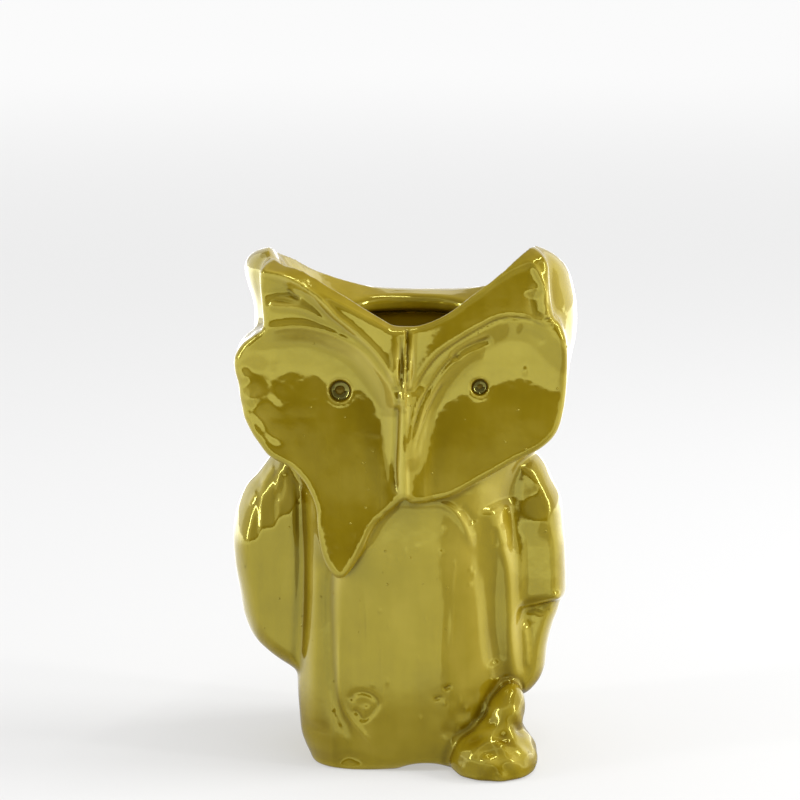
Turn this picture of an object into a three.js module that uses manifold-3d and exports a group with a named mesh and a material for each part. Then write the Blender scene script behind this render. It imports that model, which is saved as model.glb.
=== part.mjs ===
// An owl-shaped ceramic vase, 200 mm tall, as the clay elements that it is built up from.
// Millimetres, +Z up, the owl faces -Y, and it stands on Z = 0 with the origin under its middle.
// "left" is the side at -X and "right" the side at +X, as seen by someone who faces the owl.
//
// The hollow body vessel carries everything. The brows, discs, wings, legs, belly, feet and tail
// are pads of clay luted onto its outside, and the ears and the rim coil stand on its shoulder.

import * as THREE from "three";
import { LoftGeometry } from "three/addons/geometries/LoftGeometry.js";
import { mergeVertices } from "three/addons/utils/BufferGeometryUtils.js";
import Module from "manifold-3d";

const wasm = await Module();
wasm.setup();

// Driving dimensions.

const gap = 0.3; // luting gap between neighbouring elements
const wall = 6; // thickness of the vessel's wall
const floorThickness = 8;
const shoulderZ = 165; // top of the vessel, where the ears and the rim coil stand
const rimZ = 175.8; // top of the rim coil
const mouthX = 2.5;
const mouthY = -4;
const mouthRadius = 31;
const footRecessRadius = 27; // the underside is hollowed inside the foot ring
const footRecessDepth = 1.5;
const seatY = -12; // how far back the face pads run before the vessel cuts them

// Outside of the vessel, one row per height: z, centre x, centre y, half width, half depth, squareness.
const vesselLevels = [
  [0, 1, 2, 35, 36, 2.3],
  [3, 1, 2, 38.5, 39, 2.3],
  [9, 1, 2, 40, 40, 2.3],
  [40, 1.5, 2, 40.5, 40, 2.3],
  [80, 1.5, 2, 40, 39.5, 2.3],
  [108, 1.5, 2, 41, 39, 2.4],
  [128, 2, 2.5, 50, 39, 2.5],
  [148, 3, 2.5, 57.5, 39.5, 2.6],
  [160, 3.5, 2.5, 59.5, 39.5, 2.6],
  [shoulderZ, 3.5, 2.5, 58.5, 38.5, 2.6],
];

// Shapes: tools that turn rows of numbers into solids.

// A closed mesh's geometry as a manifold-3d solid, its faces turned outwards if need be.
function solidOf(geometry) {
  const bare = new THREE.BufferGeometry()
    .setAttribute("position", geometry.getAttribute("position"))
    .setIndex(geometry.index);
  const merged = mergeVertices(bare, 1e-3);
  const triangles = new Uint32Array(merged.index.array);
  const build = () =>
    new wasm.Manifold(
      new wasm.Mesh({ numProp: 3, vertProperties: merged.attributes.position.array, triVerts: triangles }),
    );
  const solid = build();
  if (solid.volume() > 0) return solid;
  for (let i = 0; i < triangles.length; i += 3) {
    [triangles[i + 1], triangles[i + 2]] = [triangles[i + 2], triangles[i + 1]];
  }
  return build();
}

function geometryOf(solid) {
  const { numProp, numVert, vertProperties, triVerts } = solid.getMesh();
  const places = new Float32Array(numVert * 3);
  for (let i = 0; i < numVert; i++) {
    places.set(vertProperties.subarray(i * numProp, i * numProp + 3), i * 3);
  }
  const indexed = new THREE.BufferGeometry()
    .setAttribute("position", new THREE.BufferAttribute(places, 3))
    .setIndex(new THREE.BufferAttribute(triVerts, 1));
  const geometry = indexed.toNonIndexed();
  geometry.computeVertexNormals();
  return geometry;
}

// One level ring: a superellipse, round at squareness 2 and boxier above it.
function ring([z, x, y, halfWidth, halfDepth, squareness], grow, segments) {
  return Array.from({ length: segments }, (_, i) => {
    const angle = (2 * Math.PI * i) / segments;
    const bend = (value) => Math.sign(value) * Math.abs(value) ** (2 / squareness);
    return new THREE.Vector3(
      x + (halfWidth + grow) * bend(Math.cos(angle)),
      y + (halfDepth + grow) * bend(Math.sin(angle)),
      z,
    );
  });
}

// A solid through level rings. The rows are joined by a smooth curve with the given number of steps.
function levelLoft(levels, { grow = 0, segments = 20, steps = 8 } = {}) {
  const curve = new THREE.CubicInterpolant(
    levels.map((row) => row[0]),
    levels.flatMap((row) => row.slice(1)),
    levels[0].length - 1,
  );
  const bottom = levels[0][0];
  const top = levels.at(-1)[0];
  const heights = new Set(levels.map((row) => row[0]));
  for (let i = 1; i < steps; i++) heights.add(bottom + ((top - bottom) * i) / steps);
  const sorted = [...heights].sort((a, b) => a - b);
  const spaced = sorted.filter((z, i) => i === 0 || z - sorted[i - 1] > 0.8 || z === top);
  const sections = spaced.map((z) => ring([z, ...curve.evaluate(z)], grow, segments));
  return solidOf(new LoftGeometry(sections, { capStart: true, capEnd: true }));
}

// A solid through outlines that stand upright, one per depth from front to back: [y, [[x, z], ...]].
function depthLoft(stations) {
  const sections = stations.map(([y, outline]) => {
    const points = outline.map(([x, z]) => new THREE.Vector3(x, y, z));
    const clockwise = THREE.ShapeUtils.isClockWise(outline.map(([x, z]) => new THREE.Vector2(x, z)));
    return clockwise ? points : points.reverse();
  });
  return solidOf(new LoftGeometry(sections, { capStart: true, capEnd: true }));
}

// A closed outline made of smooth runs; the corners between runs stay sharp.
function outlineOf(...runs) {
  return runs.flatMap((points) => {
    if (points.length < 3) return points;
    const spline = new THREE.SplineCurve(points.map(([x, z]) => new THREE.Vector2(x, z)));
    return spline.getPoints(points.length * 2).map((point) => [point.x, point.y]);
  });
}

// Every corner of an outline moved out by one distance, along the mean direction of its two sides.
function grownOutline(outline, distance) {
  const outward = THREE.ShapeUtils.isClockWise(outline.map(([x, z]) => new THREE.Vector2(x, z))) ? 1 : -1;
  return outline.map(([x, z], i) => {
    const before = outline.at(i - 1);
    const after = outline[(i + 1) % outline.length];
    const sides = [[before, [x, z]], [[x, z], after]].map(([from, to]) => {
      const side = new THREE.Vector2(from[1] - to[1], to[0] - from[0]);
      return side.normalize().multiplyScalar(outward);
    });
    const mean = sides[0].clone().add(sides[1]).normalize();
    const reach = distance / Math.max(mean.dot(sides[0]), 0.5);
    return [x + mean.x * reach, z + mean.y * reach];
  });
}

// An upright slab of clay with its front at y = front, its back at y = back and a rounded front edge.
function slab(outline, front, back, { soft = 2.5, grow = 0 } = {}) {
  const grown = grow ? grownOutline(outline, grow) : outline;
  const middle = [0, 1].map((axis) => grown.reduce((sum, point) => sum + point[axis], 0) / grown.length);
  const reaches = grown.map(([x, z]) => Math.hypot(x - middle[0], z - middle[1]));
  const span = reaches.reduce((sum, reach) => sum + reach, 0) / grown.length;
  const shrunk = (inset) => {
    const scale = 1 - inset / span;
    return grown.map((point) => point.map((value, axis) => middle[axis] + (value - middle[axis]) * scale));
  };
  return depthLoft([
    [front - grow, shrunk(soft)],
    [front + 0.3 * soft - grow, shrunk(0.3 * soft)],
    [front + soft, grown],
    [back + grow, grown],
  ]);
}

function ellipsoid(x, y, z, radiusX, radiusY, radiusZ, segments = 16) {
  return solidOf(
    new THREE.SphereGeometry(1, segments, segments / 2)
      .scale(radiusX, radiusY, radiusZ)
      .translate(x, y, z),
  );
}

function box(low, high) {
  const size = high.map((value, i) => value - low[i]);
  const middle = high.map((value, i) => (value + low[i]) / 2);
  return solidOf(new THREE.BoxGeometry(...size).translate(...middle));
}

// The body vessel.

// The outside of the vessel; grown by the luting gap, it cuts the pads that lie on it.
function vesselOutside(grow = 0) {
  return levelLoft(vesselLevels, { grow, segments: 36, steps: 12 });
}

// The mouth's round bore, from inside the cavity up past the ears.
function mouthBore() {
  const bore = new THREE.CylinderGeometry(mouthRadius, mouthRadius, 90, 36);
  return solidOf(bore.rotateX(Math.PI / 2).translate(mouthX, mouthY, shoulderZ + 25));
}

// The cavity follows the outside at one wall's distance and leaves by a round mouth.
function cavity() {
  const inside = vesselLevels
    .filter(([z]) => z > floorThickness && z < shoulderZ)
    .map(([z, x, y, outerWidth, outerDepth, bend]) => [z, x, y, outerWidth - wall, outerDepth - wall, bend]);
  const [, x, y, halfWidth, halfDepth, squareness] = inside[0];
  inside[0][0] = floorThickness + 4;
  inside.unshift([floorThickness, x, y, halfWidth - 4, halfDepth - 4, squareness]);
  inside.at(-1)[0] = shoulderZ - wall - 5;
  inside.push([shoulderZ - wall, mouthX, mouthY + 2, mouthRadius + 5, mouthRadius + 1, 2]);
  return levelLoft(inside, { segments: 32, steps: 9 }).add(mouthBore());
}

function bodyVessel() {
  const topRadius = footRecessRadius - 1.5;
  const recess = new THREE.CylinderGeometry(topRadius, footRecessRadius, 2 * footRecessDepth, 36);
  recess.rotateX(Math.PI / 2).translate(1, 2, 0);
  return vesselOutside().subtract(cavity()).subtract(solidOf(recess));
}

// The head: brows, beak, discs and eyes.

// The edge where the brow's top bounds the mouth's front, from the middle out to each ear.
const browTopLeft = [[-0.2, 173.6], [-5.3, 174], [-12, 178], [-22.7, 184.3], [-32, 189.8], [-44.2, 196.8]];
const browTopRight = [[0.2, 173.6], [6.2, 173.7], [15, 177.5], [24.6, 184.3], [35.1, 192.1], [45.3, 199.4]];
// The arc where the brow's foot meets each disc.
const discArcLeft = [[-52.8, 172.4], [-44, 173.2], [-35.4, 172.4], [-23.9, 167.9], [-13.1, 160],
  [-5.3, 152.1], [-1.8, 146]];
const discArcRight = [[52.5, 176.4], [42, 176.8], [34.3, 176.3], [24.8, 173.2], [15.1, 167.2],
  [6.2, 159.3], [1.8, 148]];
const browFrontY = -50;
const discFrontY = -48.5;
const beakHalfWidth = 1.8;

const browOutlines = {
  left: outlineOf(browTopLeft, [[-49.5, 197.4], [-53.1, 194.1], [-50.6, 184]], discArcLeft),
  right: outlineOf(browTopRight, [[49.5, 199.9], [52.3, 195], [51.6, 184]], discArcRight),
};

// The ridge of the beak, from the brow's middle down to the chest, with a blade-like nose.
function beakRidge(grow = 0) {
  const half = beakHalfWidth + grow;
  const station = (z, front) => [z, 0, (front + seatY) / 2, half, (seatY - front) / 2 + grow, 2.6];
  const levels = [station(106.5 - grow, -46), station(114, -50), station(140, -51.5),
    station(162, -52), station(173 + grow, -49.5)];
  return levelLoft(levels, { segments: 12, steps: 6 });
}

function brow(side, grow = 0) {
  return slab(browOutlines[side], browFrontY, seatY, { grow });
}

// A brow ends at the beak, at the ear behind it and at the vessel, and the mouth cuts its back.
function browPad(side) {
  return brow(side)
    .subtract(vesselOutside(gap))
    .subtract(beakRidge(gap))
    .subtract(mouthBore())
    .subtract(ear(side, gap));
}

// The eyes: a pellet that sits in a pit of each disc.
const eyes = {
  left: { x: -24.7, z: 148.5, pit: 4.6, pellet: 3.1 },
  right: { x: 27.5, z: 150, pit: 3.6, pellet: 2.3 },
};
const pitDepth = 3;

const discOutlines = {
  left: outlineOf(
    [[-1.8, 146], [-1.8, 107.5]],
    [[-3, 107], [-12, 106], [-24, 107], [-34.2, 110.5]],
    [[-37.5, 116.8], [-42.3, 120.6], [-49.4, 124.4], [-53.1, 128.6], [-57.9, 135.5], [-60.8, 144.6],
      [-61.9, 150.2], [-63.3, 158.5], [-62.5, 162.3], [-58, 168.3]],
    discArcLeft.slice(0, -1),
  ),
  right: outlineOf(
    [[1.8, 148], [1.8, 106.8]],
    [[3, 106.4], [10, 107.6], [17.9, 110.7], [29.7, 117.2], [39.5, 122.6], [49.1, 127.6], [55, 133.6],
      [57.7, 141.5], [59.1, 153.2], [58.9, 167], [56.6, 172.9]],
    discArcRight.slice(0, -1),
  ),
};

function faceDisc(side) {
  const { x, z, pit } = eyes[side];
  return slab(discOutlines[side], discFrontY, seatY)
    .subtract(vesselOutside(gap))
    .subtract(brow(side, gap))
    .subtract(beakRidge(gap))
    .subtract(mouthBore())
    .subtract(ear(side, gap))
    .subtract(ellipsoid(x, discFrontY, z, pit, pitDepth, pit));
}

function eyePellet(side) {
  const { x, z, pellet } = eyes[side];
  return ellipsoid(x, discFrontY - 0.1, z, pellet, pitDepth - 0.9, pellet, 14);
}

// The ears and the rim.

// Each ear is a horn of the wall: narrow at the brow, highest behind it, and running down to the rim.
const earBaseZ = shoulderZ + gap;
const earStations = {
  left: [
    [-36.5, [[-46, earBaseZ], [-51.5, 178], [-53.4, 190], [-52.5, 194.5],
      [-46.5, 196.6], [-37, 186], [-31, 176], [-28, earBaseZ]]],
    [-26, [[-52, earBaseZ], [-56.5, 178], [-58.5, 192], [-56.5, 198],
      [-50.5, 198], [-42, 188], [-35, 177], [-32.5, earBaseZ]]],
    [-14, [[-54, earBaseZ], [-57.5, 178], [-60, 192], [-57, 199],
      [-51.5, 198.2], [-44, 188], [-37, 177], [-35, earBaseZ]]],
    [0, [[-54, earBaseZ], [-58, 176], [-59.8, 186], [-56.5, 192.4],
      [-51, 191.5], [-43.5, 183], [-37.5, 174.5], [-35.5, earBaseZ]]],
    [14, [[-50, earBaseZ], [-54.5, 173], [-55, 179.5], [-51, 184],
      [-45.5, 183.5], [-39, 177.5], [-34.5, 171], [-33, earBaseZ]]],
    [26, [[-40.5, earBaseZ], [-43.5, 170], [-43.5, 174.5], [-40, 178],
      [-35, 178], [-30, 174.5], [-27, 169], [-26, earBaseZ]]],
  ],
  right: [
    [-36.5, [[46, earBaseZ], [50.5, 178], [52.5, 190], [54, 196],
      [46.5, 199.5], [37, 189], [32, 177], [30, earBaseZ]]],
    [-26, [[53, earBaseZ], [57, 176], [58, 188], [56.5, 195.5],
      [50.5, 200], [43, 189], [38.5, 177], [36, earBaseZ]]],
    [-12, [[59, earBaseZ], [63, 175], [62, 186], [58.5, 194.5],
      [52.5, 197.2], [46, 187], [41.5, 177], [39.5, earBaseZ]]],
    [2, [[61.5, earBaseZ], [66, 173], [64.5, 182], [61, 190.8],
      [54.5, 192.6], [47, 184], [42.5, 175], [40.5, earBaseZ]]],
    [14, [[60, earBaseZ], [65, 171], [63, 177.5], [59, 184],
      [51, 185.3], [44, 179], [39, 172], [37.5, earBaseZ]]],
    [26, [[49, earBaseZ], [53, 169.5], [52, 174], [48, 178.3],
      [40.5, 178.8], [35.5, 175], [32, 169.5], [30.5, earBaseZ]]],
  ],
};

function ear(side, grow = 0) {
  const stations = earStations[side].map(([y, outline], i, all) => {
    const end = i === 0 ? -grow : i === all.length - 1 ? grow : 0;
    return [y + end, grow ? grownOutline(outline, 1.4 * grow) : outline];
  });
  return depthLoft(stations);
}

// The rim coil closes the mouth's back between the ears; its lip is rounded.
function neckRim() {
  const coil = 8.5;
  const inner = mouthRadius;
  const half = coil / 2;
  const profile = [[inner, shoulderZ + gap]];
  profile.push([inner + coil, shoulderZ + gap]);
  for (let i = 0; i <= 6; i++) {
    const angle = (Math.PI * i) / 6;
    profile.push([inner + half + half * Math.cos(angle), rimZ - half + half * Math.sin(angle)]);
  }
  profile.push([inner, shoulderZ + gap]);
  const lathe = new THREE.LatheGeometry(profile.map(([r, z]) => new THREE.Vector2(r, z)), 48);
  return solidOf(lathe.rotateX(Math.PI / 2).translate(mouthX, mouthY, 0))
    .subtract(box([-70, -60, 150], [70, 9, 210]))
    .subtract(ear("left", gap))
    .subtract(ear("right", gap));
}

// The chest, legs and feet.

const bellyFrontY = -43.5;
const bellyOutline = outlineOf(
  [[-20, 5], [-24.5, 24], [-25, 48], [-22, 74], [-14, 94], [2, 103.5], [13, 104], [21, 92], [27, 74],
    [30, 56], [31, 36], [27, 18], [17, 8]],
);

function bellyPanel() {
  return slab(bellyOutline, bellyFrontY, seatY, { soft: 3 }).subtract(vesselOutside(gap));
}

// A leg is a column beside the belly, from the cheek down to its foot.
const legLevels = {
  left: [[13, -32, -24, 9.5, 16, 2.4], [32, -33.5, -24, 10, 16.5, 2.4], [60, -33.5, -24, 10, 16.5, 2.4],
    [86, -33.5, -24, 9.8, 16, 2.4], [104, -33, -24, 8.5, 14, 2.2]],
  right: [[31, 37.5, -23.5, 8.5, 16, 2.4], [50, 37, -24, 9.5, 16.5, 2.4], [72, 36, -24, 9.8, 16.5, 2.4],
    [92, 35.5, -24, 9.8, 16, 2.4], [104.5, 34, -24, 8.5, 14, 2.2]],
};

function leg(side, grow = 0) {
  return levelLoft(legLevels[side], { grow, segments: 18, steps: 5 });
}

function legColumn(side) {
  return leg(side)
    .subtract(vesselOutside(gap))
    .subtract(slab(bellyOutline, bellyFrontY, seatY, { soft: 3, grow: gap }));
}

// The left foot is a low pad, and the right one a mound that runs up its leg.
const footLevels = {
  left: [[0, -21, -27, 14, 15, 2.3], [3, -21.5, -27, 16.5, 17.5, 2.3], [8, -23, -27, 16, 17, 2.2],
    [12.5, -26, -27, 11, 13, 2]],
  right: [[0, 32, -30, 14, 18.5, 2.2], [3, 33, -31, 16, 21, 2.2], [10, 34.5, -31, 14.2, 19.5, 2.1],
    [20, 37, -29, 10.5, 16, 2], [30.5, 39.5, -26, 5, 11, 2]],
};

function foot(side, grow = 0) {
  return levelLoft(footLevels[side], { grow, segments: 22, steps: 5 });
}

function footPad(side) {
  const belly = slab(bellyOutline, bellyFrontY, seatY, { soft: 3, grow: gap });
  return foot(side).subtract(vesselOutside(gap)).subtract(belly).subtract(leg(side, gap));
}

// The wings and the tail.

const wingLevels = {
  left: [[35, -42, 2, 4, 9, 2], [42, -45, 1, 9, 16, 2.2], [55, -47, 0, 14.5, 21, 2.4],
    [72, -48, 0, 16.8, 24, 2.5], [88, -48, 0, 17.5, 25, 2.5], [100, -46.5, 0, 16, 23, 2.4],
    [112, -44, 0, 11.5, 18, 2.2], [119, -41, 0, 6, 12, 2]],
  right: [[62.5, 45, 0, 15.5, 22, 2.4], [76, 45, 0, 16, 24, 2.5], [90, 44.5, 0, 15.3, 25, 2.5],
    [101, 44, 0, 14.3, 23, 2.4], [113, 42.5, 0, 10, 18, 2.2], [120, 40, 0, 6, 12, 2]],
};

function wing(side) {
  return levelLoft(wingLevels[side], { segments: 26, steps: 9 })
    .subtract(vesselOutside(gap))
    .subtract(leg(side, gap));
}

// The right wing ends in a separate feather lobe below its fold.
function wingTipRight() {
  const levels = [[26, 44, -2, 3, 6, 2], [34, 45.5, -2, 7.5, 12, 2.2], [48, 46, -1, 10, 17, 2.3],
    [62.5 - gap, 46, 0, 13.8, 20, 2.4]];
  return levelLoft(levels, { segments: 22, steps: 6 })
    .subtract(vesselOutside(gap))
    .subtract(leg("right", gap));
}

function tail() {
  const levels = [[0, 0, 38, 17, 8, 2.4], [4, 0, 39.5, 19, 10.5, 2.4], [18, 0, 40, 18.5, 10.5, 2.4],
    [36, 0, 39.5, 16.5, 8, 2.3], [52, 0, 38.5, 13, 4.5, 2.2]];
  return levelLoft(levels, { segments: 24, steps: 6 }).subtract(vesselOutside(gap));
}

// The assembly.

const glaze = new THREE.MeshStandardMaterial({ color: 0x9a8a2e, roughness: 0.12, metalness: 0 });
const paleGlaze = new THREE.MeshStandardMaterial({ color: 0xb0a348, roughness: 0.12, metalness: 0 });
const darkGlaze = new THREE.MeshStandardMaterial({ color: 0x5a4808, roughness: 0.12, metalness: 0 });

const owl = new THREE.Group();

function place(name, solid, material) {
  const mesh = new THREE.Mesh(geometryOf(solid), material);
  mesh.name = name;
  owl.add(mesh);
}

place("body_vessel", bodyVessel(), glaze);
place("neck_rim", neckRim(), glaze);
place("beak_ridge", beakRidge().subtract(vesselOutside(gap)).subtract(mouthBore()), paleGlaze);
place("belly_panel", bellyPanel(), glaze);
place("wing_tip_right", wingTipRight(), glaze);
place("tail", tail(), glaze);
for (const side of ["left", "right"]) {
  place(`brow_${side}`, browPad(side), paleGlaze);
  place(`ear_${side}`, ear(side), paleGlaze);
  place(`face_disc_${side}`, faceDisc(side), glaze);
  place(`eye_${side}`, eyePellet(side), darkGlaze);
  place(`leg_${side}`, legColumn(side), glaze);
  place(`foot_${side}`, footPad(side), glaze);
  place(`wing_${side}`, wing(side), glaze);
}

export default owl;
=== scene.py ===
import math

import bmesh
import bpy
import numpy as np
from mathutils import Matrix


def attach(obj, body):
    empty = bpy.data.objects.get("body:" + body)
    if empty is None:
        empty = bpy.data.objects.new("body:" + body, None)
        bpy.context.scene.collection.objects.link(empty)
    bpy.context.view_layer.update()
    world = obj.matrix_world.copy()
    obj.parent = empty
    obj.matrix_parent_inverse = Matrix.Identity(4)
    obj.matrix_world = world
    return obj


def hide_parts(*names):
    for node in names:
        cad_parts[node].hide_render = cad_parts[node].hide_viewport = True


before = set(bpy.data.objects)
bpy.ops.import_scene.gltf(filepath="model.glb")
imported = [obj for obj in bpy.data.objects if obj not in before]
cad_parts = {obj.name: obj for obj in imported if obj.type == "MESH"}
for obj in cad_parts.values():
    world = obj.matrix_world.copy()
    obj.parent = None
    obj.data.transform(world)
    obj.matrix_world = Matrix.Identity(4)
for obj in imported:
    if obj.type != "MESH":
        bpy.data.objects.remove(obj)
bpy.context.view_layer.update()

import openvdb
from mathutils import Vector

mm = 0.001

# The owl is one hand-modelled form, so it is worked out as one field of signed distances in
# millimetres: negative inside the clay. Each piece is the part of that field which its own
# clay element covers, so neighbouring pieces share one skin and meet without a step.


# The camera that frames the owl from slightly above.
cameraSettings = {
    "aim": (-2.33, 0.0, 137.6),      # mm
    "distance": 1200.0,              # mm
    "elevation": 10.0,               # degrees above the horizon
    "pictureWidth": 310.64,          # mm across the picture where it aims
}


def makeCamera():
    s = cameraSettings
    tilt = math.radians(s["elevation"])
    data = bpy.data.cameras.new("studioCamera")
    data.sensor_width = 36.0
    data.lens = data.sensor_width * s["distance"] / s["pictureWidth"]
    data.clip_start, data.clip_end = 0.05, 60.0
    camera = bpy.data.objects.new("studioCamera", data)
    x, y, z = s["aim"]
    back = (0.0, -s["distance"] * math.cos(tilt), s["distance"] * math.sin(tilt))
    camera.location = Vector((x + back[0], y + back[1], z + back[2])) * mm
    camera.rotation_euler = (math.pi / 2 - tilt, 0.0, 0.0)
    bpy.context.scene.collection.objects.link(camera)
    bpy.context.scene.camera = camera


makeCamera()
print("camera made")


# Small tools for the fields.
def smoothMin(a, b, k):
    h = np.maximum(k - np.abs(a - b), 0.0) / k
    return np.minimum(a, b) - h * h * k * 0.25


def smoothMax(a, b, k):
    return -smoothMin(-a, -b, k)


def smoothStep(low, high, value):
    t = np.clip((value - low) / (high - low), 0.0, 1.0)
    return t * t * (3.0 - 2.0 * t)


def curveThrough(points, closed=False, perSpan=6):
    # Catmull-Rom: every column of the points is carried along, so a column may hold a width
    p = np.array(points, dtype=float)
    n = len(p)
    if closed:
        padded = np.vstack([p[-1], p, p[0], p[1]])
        spans = n
    else:
        padded = np.vstack([2 * p[0] - p[1], p, 2 * p[-1] - p[-2]])
        spans = n - 1
    t = (np.arange(perSpan) / perSpan)[:, None]
    out = []
    for i in range(spans):
        a, b, c, d = padded[i:i + 4]
        bend, twist = 2 * a - 5 * b + 4 * c - d, 3 * b - a - 3 * c + d
        out.append(0.5 * (2 * b + (c - a) * t + bend * t**2 + twist * t**3))
    if not closed:
        out.append(p[-1:])
    return np.vstack(out)


# Front maps: values over X and Z, which the front of the owl takes straight back along Y.
mapStep = 0.4
mapX = np.arange(-78.0, 78.0 + mapStep / 2, mapStep)
mapZ = np.arange(-8.0, 212.0 + mapStep / 2, mapStep)
gridX, gridZ = np.meshgrid(mapX, mapZ, indexing="ij")


def sampleMap(values, x, z, originX=mapX[0], originZ=mapZ[0], step=mapStep):
    u = np.clip((x - originX) / step, 0, values.shape[0] - 1.001)
    v = np.clip((z - originZ) / step, 0, values.shape[1] - 1.001)
    i = u.astype(np.int32)
    j = v.astype(np.int32)
    fu = (u - i).astype(np.float32)
    fv = (v - j).astype(np.float32)
    flat = values.ravel()
    width = values.shape[1]
    k = i * width + j
    low = flat[k] * (1 - fv) + flat[k + 1] * fv
    high = flat[k + width] * (1 - fv) + flat[k + width + 1] * fv
    return low * (1 - fu) + high * fu


def nearLine(points, reach):
    # distance to a line, signed by its side (left of its run is positive), and how far along it
    p = np.array(points, dtype=float)
    low = p[:, :2].min(axis=0) - reach
    high = p[:, :2].max(axis=0) + reach
    i0, i1 = np.searchsorted(mapX, low[0]), np.searchsorted(mapX, high[0])
    j0, j1 = np.searchsorted(mapZ, low[1]), np.searchsorted(mapZ, high[1])
    gx, gz = gridX[i0:i1, j0:j1], gridZ[i0:i1, j0:j1]
    best = np.full(gx.shape, 1e9)
    side = np.ones(gx.shape)
    along = np.zeros(gx.shape)
    extra = np.zeros(gx.shape + (p.shape[1] - 2,))
    count = len(p) - 1
    for s in range(count):
        a, b = p[s], p[s + 1]
        d = b[:2] - a[:2]
        length2 = max(d @ d, 1e-9)
        t = np.clip(((gx - a[0]) * d[0] + (gz - a[1]) * d[1]) / length2, 0, 1)
        ox, oz = gx - a[0] - t * d[0], gz - a[1] - t * d[1]
        dist = np.hypot(ox, oz)
        nearer = dist < best
        best = np.where(nearer, dist, best)
        turn = np.sign(d[0] * (gz - a[1]) - d[1] * (gx - a[0]))
        side = np.where(nearer, turn, side)
        along = np.where(nearer, (s + t) / count, along)
        if extra.shape[-1]:
            mixed = a[2:] + (b[2:] - a[2:]) * t[..., None]
            extra = np.where(nearer[..., None], mixed, extra)
    return (slice(i0, i1), slice(j0, j1)), best, side, along, extra


def outlineDistance(points):
    # signed distance to a closed outline, negative inside
    p = np.array(points, dtype=float)
    ring = np.vstack([p, p[:1]])
    best = np.full(gridX.shape, 1e9)
    inside = np.zeros(gridX.shape, dtype=bool)
    for a, b in zip(ring[:-1], ring[1:]):
        d = b - a
        t = np.clip(((gridX - a[0]) * d[0] + (gridZ - a[1]) * d[1]) / max(d @ d, 1e-9), 0, 1)
        best = np.minimum(best, np.hypot(gridX - a[0] - t * d[0], gridZ - a[1] - t * d[1]))
        if a[1] != b[1]:
            crosses = (a[1] > gridZ) != (b[1] > gridZ)
            inside ^= crosses & (gridX < d[0] * (gridZ - a[1]) / d[1] + a[0])
    return np.where(inside, -best, best).astype(np.float32)


def drawLine(relief, points, height, width, ends=0.12, shape="ridge", perSpan=6):
    # adds a ridge (or with a negative height a groove) along a line; a third column scales it
    line = curveThrough(points, perSpan=perSpan)
    window, dist, side, along, extra = nearLine(line, width * 3.2)
    taper = smoothStep(0, max(ends, 1e-3), along) * smoothStep(0, max(ends, 1e-3), 1 - along)
    if extra.shape[-1]:
        taper = taper * extra[..., 0]
    if shape == "ridge":
        profile = np.exp(-(dist / width) ** 2)
    elif shape == "sharp":
        profile = np.exp(-dist / width)
    else:                                  # a step, high on the left of the line's run
        profile = side * np.exp(-dist / width) * (1 - np.exp(-dist / (0.18 * width)))
    relief[window] += (height * taper * profile).astype(relief.dtype)


def bump(relief, x, z, radiusX, radiusZ, height, turn=0.0, power=1.0):
    c, s = math.cos(math.radians(turn)), math.sin(math.radians(turn))
    u = ((gridX - x) * c + (gridZ - z) * s) / radiusX
    v = (-(gridX - x) * s + (gridZ - z) * c) / radiusZ
    relief += (height * np.exp(-((u * u + v * v) ** power))).astype(relief.dtype)


def waves(p, size, seed, count=7):
    # soft unevenness about 1 high and `size` mm from crest to crest
    rng = np.random.default_rng(seed)
    total = np.zeros(len(p), dtype=np.float32)
    for _ in range(count):
        direction = rng.normal(size=3)
        direction *= 2 * math.pi / (size * rng.uniform(0.8, 1.5)) / np.linalg.norm(direction)
        phase = rng.uniform(0, 2 * math.pi)
        total += np.sin(p @ direction.astype(np.float32) + np.float32(phase))
    return total / math.sqrt(count)


# The owl's outlines, in mm: X to the right, Z up, seen from the front.
headLevels = np.array([          # z, middle x, middle y, half width, half depth
    [98, 1.5, 1.0, 41.0, 38.0],
    [108, 1.5, 0.5, 43.5, 38.5],
    [118, 1.5, 0.0, 48.0, 39.5],
    [130, 1.8, 0.0, 55.0, 41.0],
    [142, 1.6, 0.5, 59.6, 42.0],
    [155, 2.4, 1.0, 61.2, 42.5],
    [166, 3.6, 1.0, 62.0, 42.5],
    [176, 3.6, 0.5, 62.0, 41.5],
    [188, 0.8, 0.0, 62.4, 41.0],
    [197, -0.8, 0.0, 62.0, 40.0],
    [206, -2.0, 0.0, 59.5, 39.0],
])

torsoLevels = np.array([
    [-2, 2.2, 1.0, 34.5, 37.0],
    [2, 2.0, 1.0, 38.6, 40.0],
    [8, 1.6, 1.0, 41.6, 41.0],
    [20, 1.2, 1.0, 43.2, 41.0],
    [40, 0.8, 1.0, 43.8, 41.0],
    [60, 0.8, 1.0, 43.5, 40.5],
    [85, 1.0, 1.0, 43.0, 39.5],
    [105, 1.2, 1.0, 43.5, 38.0],
    [125, 1.5, 1.0, 44.0, 38.0],
])

cavityLevels = np.array([
    [9, 1.2, 1.0, 30.0, 29.0],
    [16, 1.2, 1.0, 35.0, 33.0],
    [60, 1.5, 1.0, 36.0, 34.0],
    [105, 1.5, 1.0, 36.5, 32.0],
    [128, 2.0, 1.0, 46.0, 33.5],
    [146, 2.5, 0.5, 52.0, 34.0],
    [158, 2.5, -1.5, 42.0, 32.0],
    [169, 2.3, -3.0, 33.0, 32.2],
])

mouth = {"x": 2.3, "y": -3.5, "radius": 31.0}

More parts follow.
